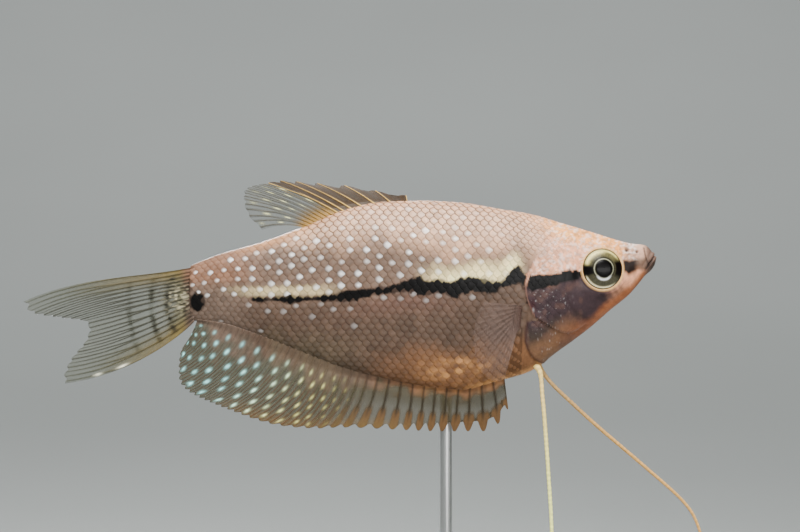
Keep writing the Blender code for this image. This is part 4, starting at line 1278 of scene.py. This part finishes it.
def sheet_faces(wide, tall):
    """Faces of a closed sheet: a front grid of points, a back grid after it, and the rim between."""
    size = wide * tall
    index = np.arange(size).reshape(wide, tall)
    border = np.concatenate([index[:, 0], index[-1, 1:], index[-2::-1, -1], index[0, -2:0:-1]])
    following = np.roll(border, -1)
    rim = np.stack([border, following, following + size, border + size], axis=-1)
    return np.concatenate([grid_faces(wide, tall), grid_faces(wide, tall, start=size)[:, ::-1], rim])


def make_fin(name, point, rays, per_ray, rows, paint_fin, notch, surface, replaced, soft_from=0.0,
             places=lambda share: share):
    """A closed fin membrane with raised rays. From soft_from on, a share of the count, the rays
    fork towards the edge; notch is how far the edge falls short between two rays."""
    count = np.linspace(0, rays - 1, (rays - 1) * per_ray + 1)
    count, v = np.meshgrid(count, np.linspace(0, 1, rows + 1), indexing="ij")
    share = count / (rays - 1)
    phase = count - np.round(count)
    u = places(share)
    split = 0.25 * ease(0.35, 0.75, v) * (share >= soft_from)
    gap = ease(0.05, 0.5, np.abs(phase)) * notch(u)
    points = point(u, v * (1 - gap * ease(0.75, 1.0, v)))
    spacing = np.linalg.norm(np.gradient(points, axis=0), axis=-1) * per_ray
    ridge = bell(np.abs(np.abs(phase) - split) * spacing, tapered(RAY_WIDTH, v))
    half = tapered(MEMBRANE_HALF, v) + tapered(RAY_HALF, v) * ridge + ROOT_SWELL * ease(ROOT_SHARE, 0.0, v)
    out = grid_normals(points) * half[..., None]
    behind, height = seen(points)
    colour, alpha = paint_fin(u=u, v=v, share=share, phase=phase, ridge=ridge, behind=behind,
                              height=height)
    colours = np.clip(np.concatenate([colour, alpha[..., None]], axis=-1), 0, 1)
    fin = new_mesh(name, np.array([points + out, points - out]), sheet_faces(*v.shape),
                   np.array([colours, colours]).reshape(-1, 4))
    close(fin)
    dress(fin, surface, "fin", replaced)


def spots_on(u_like, v, centres, long, wide):
    """Brightness of soft spots, long along the rays and wide across them."""
    glow = np.zeros(v.shape)
    for spot_u, spot_v, size in centres:
        glow = np.maximum(glow, size * bell(np.hypot((u_like - spot_u) / wide, (v - spot_v) / long), 1.0))
    return glow


def dorsal_spots():
    """Places and brightness of the dorsal fin's pale spots, one between every other pair of rays."""
    rng = np.random.default_rng(DORSAL_SEED)
    centres = []
    for row, spot_v in enumerate((0.3, 0.5, 0.68, 0.84)):
        for k in range(6, DORSAL_RAYS):
            if (k + row) % 2 == 0:
                centres.append(((k + 0.5) / (DORSAL_RAYS - 1), spot_v + 0.08 * rng.random(),
                                (0.7 + 0.3 * rng.random()) * (0.55 if row == 3 else 1)))
    return centres


def anal_spots():
    """Places and brightness of the anal fin's pale spots, in offset rows that fade out forwards."""
    rng = np.random.default_rng(ANAL_SEED)
    centres = []
    for row in range(6):
        for k in range(16):
            spot_u = 0.42 + (k + 0.5 * (row % 2)) * 0.0415 + 0.008 * (rng.random() - 0.5)
            spot_v = 0.93 - row * 0.15 + 0.03 * (rng.random() - 0.5)
            bright = ease(0.44, 0.72, spot_u) * (0.6 + 0.4 * rng.random()) * (0.5 if row > 4 else 1.0)
            centres.append((spot_u, spot_v, bright))
    return centres


def paint_dorsal(u, v, share, phase, ridge, **_):
    spiny = ease(0.52, 0.4, share)
    soft = 1 - spiny
    beside_ray = bell(np.abs(phase) - 0.22, 0.09)
    glow = spots_on(share, v, dorsal_spots(), 0.06, 0.0085) * ease(0.4, 0.46, share)
    colour = layer(
        filled(srgb(106, 108, 96), u),
        (srgb(104, 84, 62), spiny * 0.92),
        (srgb(206, 184, 128), ease(0.34, 0.0, v) * soft * 0.85),
        (srgb(66, 56, 40), beside_ray * soft * 0.75),
        (srgb(136, 128, 104), ridge * soft * 0.4),
        (srgb(244, 222, 176), ridge ** 2 * spiny * 0.95),
        (srgb(252, 248, 224), glow))
    alpha = 0.14 + 0.56 * spiny + 0.3 * ridge + 0.3 * beside_ray + 0.5 * ease(0.3, 0.02, v) + 0.8 * glow
    return colour, alpha


def paint_anal(u, v, phase, ridge, behind, height, **_):
    arc = anal_spread(u)
    front = ease(0.56, 0.36, u)
    blur = 0.3 * (coarse(behind, height, 1.3) - 0.5)
    sheath = ease(0.5 - 0.2 * front, 0.1 - 0.08 * front, v + blur)
    width = 0.2 + 0.28 * v * ease(0.26, 0.0, u) + 0.1 * v
    tooth = ease(width + 0.1, width - 0.1, np.abs(phase)) * ease(0.5, 0.72, v) * front
    spine = bell(phase, 0.1) * front * ease(0.85, 0.6, v)
    amber = ease(0.72, 0.98, v) * ease(0.22, 0.4, u) * ease(0.8, 0.6, u)
    lines = bell(np.abs(phase) - 0.25, 0.1) * ease(0.2, 0.5, v) * (1 - front)
    glow = spots_on(arc, v, anal_spots(), 0.034, 0.0042)
    colour = layer(
        mix(srgb(108, 104, 82), srgb(116, 120, 108), ease(0.5, 0.8, u)),
        (paint(behind, np.maximum(height, body_bottom(behind) + 1.2)), sheath),
        (srgb(104, 96, 74), front * ease(0.15, 0.35, v) * 0.8),
        (srgb(134, 108, 76), 0.85 * tooth),
        (srgb(62, 48, 34), 0.8 * spine),
        (srgb(136, 118, 80), 0.75 * amber),
        (srgb(112, 70, 50), 0.6 * lines),
        (mix(srgb(248, 246, 206), srgb(214, 250, 252), ease(0.6, 0.85, arc)), np.clip(glow * 1.3, 0, 1)))
    alpha = 0.66 + 0.4 * sheath + 0.2 * ridge + 0.3 * lines + 0.5 * glow + 0.6 * tooth + 0.3 * spine
    return colour, alpha - 0.2 * front * ease(0.3, 0.6, v)


def paint_caudal(u, v, ridge, behind, height, **_):
    edge_band = np.maximum(ease(0.26, 0.02, u), ease(0.76, 0.98, u))
    broken = ease(0.3, 0.55, fine(behind * 0.5, height, 0.45))
    arc = np.hypot(behind - 68.6, (height + 6.6) * 0.75)
    bars = np.zeros(u.shape)
    for distance, strength in ((2.4, 0.45), (4.9, 0.85), (7.3, 0.7), (10.7, 0.35)):
        bars = np.maximum(bars, strength * bell(arc - distance, 0.4) * (0.3 + 0.7 * broken))
    bars = bars * ease(0.04, 0.14, u) * ease(0.99, 0.9, u)
    sparkle = ease(0.45, 0.8, fine(behind * 0.5, height, 0.22))
    sparkle = sparkle * bell(np.hypot(behind - 71.6, height + 6.2) - 0.4, 1.7)
    tips = bell(u - 0.985, 0.01) * (bell(v - 0.55, 0.04) + bell(v - 0.74, 0.03))
    colour = layer(
        filled(srgb(132, 134, 122), u),
        (srgb(144, 137, 112), edge_band * ease(0.85, 0.25, v) + 0.5 * ease(0.45, 0.1, v)),
        (paint(np.minimum(behind, BODY_END), np.clip(height, -9.0, -1.6)), ease(0.1, 0.03, v)),
        (srgb(76, 68, 54), np.clip(1.2 * ridge, 0, 1) * (0.75 - 0.3 * edge_band)),
        (srgb(24, 20, 16), bars),
        (srgb(222, 218, 204), 0.5 * sparkle),
        (srgb(250, 248, 238), 0.9 * tips))
    alpha = 0.3 + 0.3 * edge_band * ease(0.9, 0.4, v) + 0.55 * ridge + 0.7 * ease(0.24, 0.03, v)
    return colour, alpha + 0.7 * bars + 0.5 * sparkle + 0.5 * tips


def paint_pectoral(u, v, ridge, **_):
    colour = layer(filled(srgb(150, 137, 132), u), (srgb(166, 152, 146), ridge * 0.6),
                   (srgb(124, 104, 96), ease(0.16, 0.0, v)))
    return colour, 0.26 + 0.1 * ridge + 0.4 * ease(0.16, 0.0, v) - 0.16 * ease(0.5, 1.0, v)


def make_pectoral(side, surface):
    name = "pectoral_" + SIDE_NAMES[side]
    make_fin(name, pectoral_point(side), PECTORAL_RAYS, 12, 60, paint_pectoral, lambda u: 0.03, surface,
             "fin_" + name)


def make_middle_fins(surface):
    """The dorsal fin, the anal fin and the tail fin."""
    make_fin("dorsal", dorsal_point, DORSAL_RAYS, 24, 70, paint_dorsal, smooth(DORSAL_NOTCH), surface,
             "fin_dorsal", soft_from=0.42, places=smooth(DORSAL_PLACES))
    make_fin("anal", anal_point, ANAL_RAYS, 12, 90, paint_anal, smooth(ANAL_NOTCH), surface,
             "fin_anal", soft_from=0.4, places=smooth(ANAL_PLACES))
    make_fin("caudal", caudal_point, CAUDAL_RAYS, 20, 120, paint_caudal, lambda u: 0.02, surface,
             "fin_caudal")


# Pelvic threads

def make_thread(name, line, side, colour_root, colour_tip, surface, replaced):
    """A long tapering thread, slightly flattened, with fine joints."""
    t = np.linspace(0, 1, 260) ** 1.1
    inside = (line[0][0] + 0.9, line[0][1] + 1.5, line[0][2] - 0.5)
    spots = path([inside] + line)(t)
    centre = place(spots[:, 0], spots[:, 1], side * spots[:, 2])
    lead = np.gradient(centre, axis=0)
    lead /= np.linalg.norm(lead, axis=1)[:, None]
    across = np.cross(lead, [1.0, 0.0, 0.0])
    across /= np.linalg.norm(across, axis=1)[:, None]
    other = np.cross(lead, across)
    joints = np.sin(t * THREAD_JOINTS)
    radius = (0.3 - 0.14 * t ** 2 + 0.3 * np.maximum(0, 1 - t / 0.07) ** 1.5) * (1 + 0.05 * joints)
    radius = np.where(t > 0.985, radius * np.sqrt(np.clip((1.0005 - t) / 0.015, 0.02, 1)), radius)
    angle = 2 * math.pi * np.arange(THREAD_COLUMNS) / THREAD_COLUMNS
    flat, tall = 0.8 * np.cos(angle)[:, None], np.sin(angle)[:, None]
    points = centre[:, None] + (across[:, None] * flat + other[:, None] * tall) * radius[:, None, None]
    colours = mix(filled(colour_root, t), colour_tip, ease(0.05, 0.45, t)) * (0.93 + 0.07 * joints)[:, None]
    thread = new_tube(name, points, np.broadcast_to(colours[:, None], points.shape))
    dress(thread, surface, "thread", replaced)


# Stage

def make_stage():
    """A round pale floor that curves up into a wall all round, so that no horizon shows."""
    profile = [(0.02, 0.0), (0.1, 0.0), (FLOOR_RADIUS, 0.0)]
    profile += [(FLOOR_RADIUS + COVE * math.sin(a), COVE - COVE * math.cos(a))
                for a in np.linspace(0.05, math.pi / 2, 30)]
    points, _ = turned(profile, FLOOR_COLUMNS)
    floor = new_mesh("studio_floor", points / MM, grid_faces(len(profile), FLOOR_COLUMNS, wrap=True))
    close(floor, range(FLOOR_COLUMNS))
    floor.data.materials.append(paper_material())


def area_light(name, spot, target, size, power, colour, spread):
    light = bpy.data.lights.new(name, 'AREA')
    light.shape = 'RECTANGLE'
    light.size, light.size_y = size
    light.energy = power
    light.color = colour
    light.spread = math.radians(spread)
    thing = bpy.data.objects.new(name, light)
    bpy.context.scene.collection.objects.link(thing)
    thing.location = spot
    thing.rotation_euler = (Vector(target) - Vector(spot)).to_track_quat('-Z', 'Y').to_euler()
    thing.visible_camera = False


def make_lights():
    for lamp in LIGHTS:
        area_light(*lamp)
    world = bpy.data.worlds.new("studio")
    bpy.context.scene.world = world
    world.use_nodes = True
    background = world.node_tree.nodes["Background"]
    background.inputs["Color"].default_value = (*AMBIENT, 1)
    background.inputs["Strength"].default_value = AMBIENT_STRENGTH


def make_camera():
    data = bpy.data.cameras.new("camera")
    data.type = 'PERSP'
    data.lens = LENS
    data.sensor_width = SENSOR
    data.clip_start = 0.01
    data.clip_end = 10
    camera = bpy.data.objects.new("camera", data)
    bpy.context.scene.collection.objects.link(camera)
    distance = PICTURE_WIDTH * PIXEL * LENS / SENSOR
    camera.location = Vector((VIEW_CENTRE[0], -distance, VIEW_CENTRE[1])) * MM
    camera.rotation_euler = (math.pi / 2, 0, 0)
    bpy.context.scene.camera = camera


def main():
    make_camera()
    make_lights()
    make_stage()
    skin = skin_material("gourami_skin", False)
    scales = skin_material("gourami_scales", True)
    membrane = fin_material("gourami_fin")
    thread = fin_material("gourami_thread")
    eye = eye_material()
    make_skin(skin)
    for side in SIDE_NAMES:
        make_scales(side, scales)
        make_eye(side, eye)
        make_eye_rim(side, skin)
        make_pectoral(side, membrane)
    make_middle_fins(membrane)
    make_thread("thread_right", PELVIC_RIGHT, -1, *THREAD_NEAR, thread, "fin_pelvic_right")
    # The far thread takes the darker copy of the thread colours, painted shade.
    make_thread("thread_left", PELVIC_LEFT, 1, *THREAD_FAR_SHADED, thread, "fin_pelvic_left")
    for node, surface in (("stand_base", wood_material()), ("stand_rod", steel_material())):
        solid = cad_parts[node]
        solid.data.materials.clear()
        solid.data.materials.append(surface)


main()
bpy.context.view_layer.update()
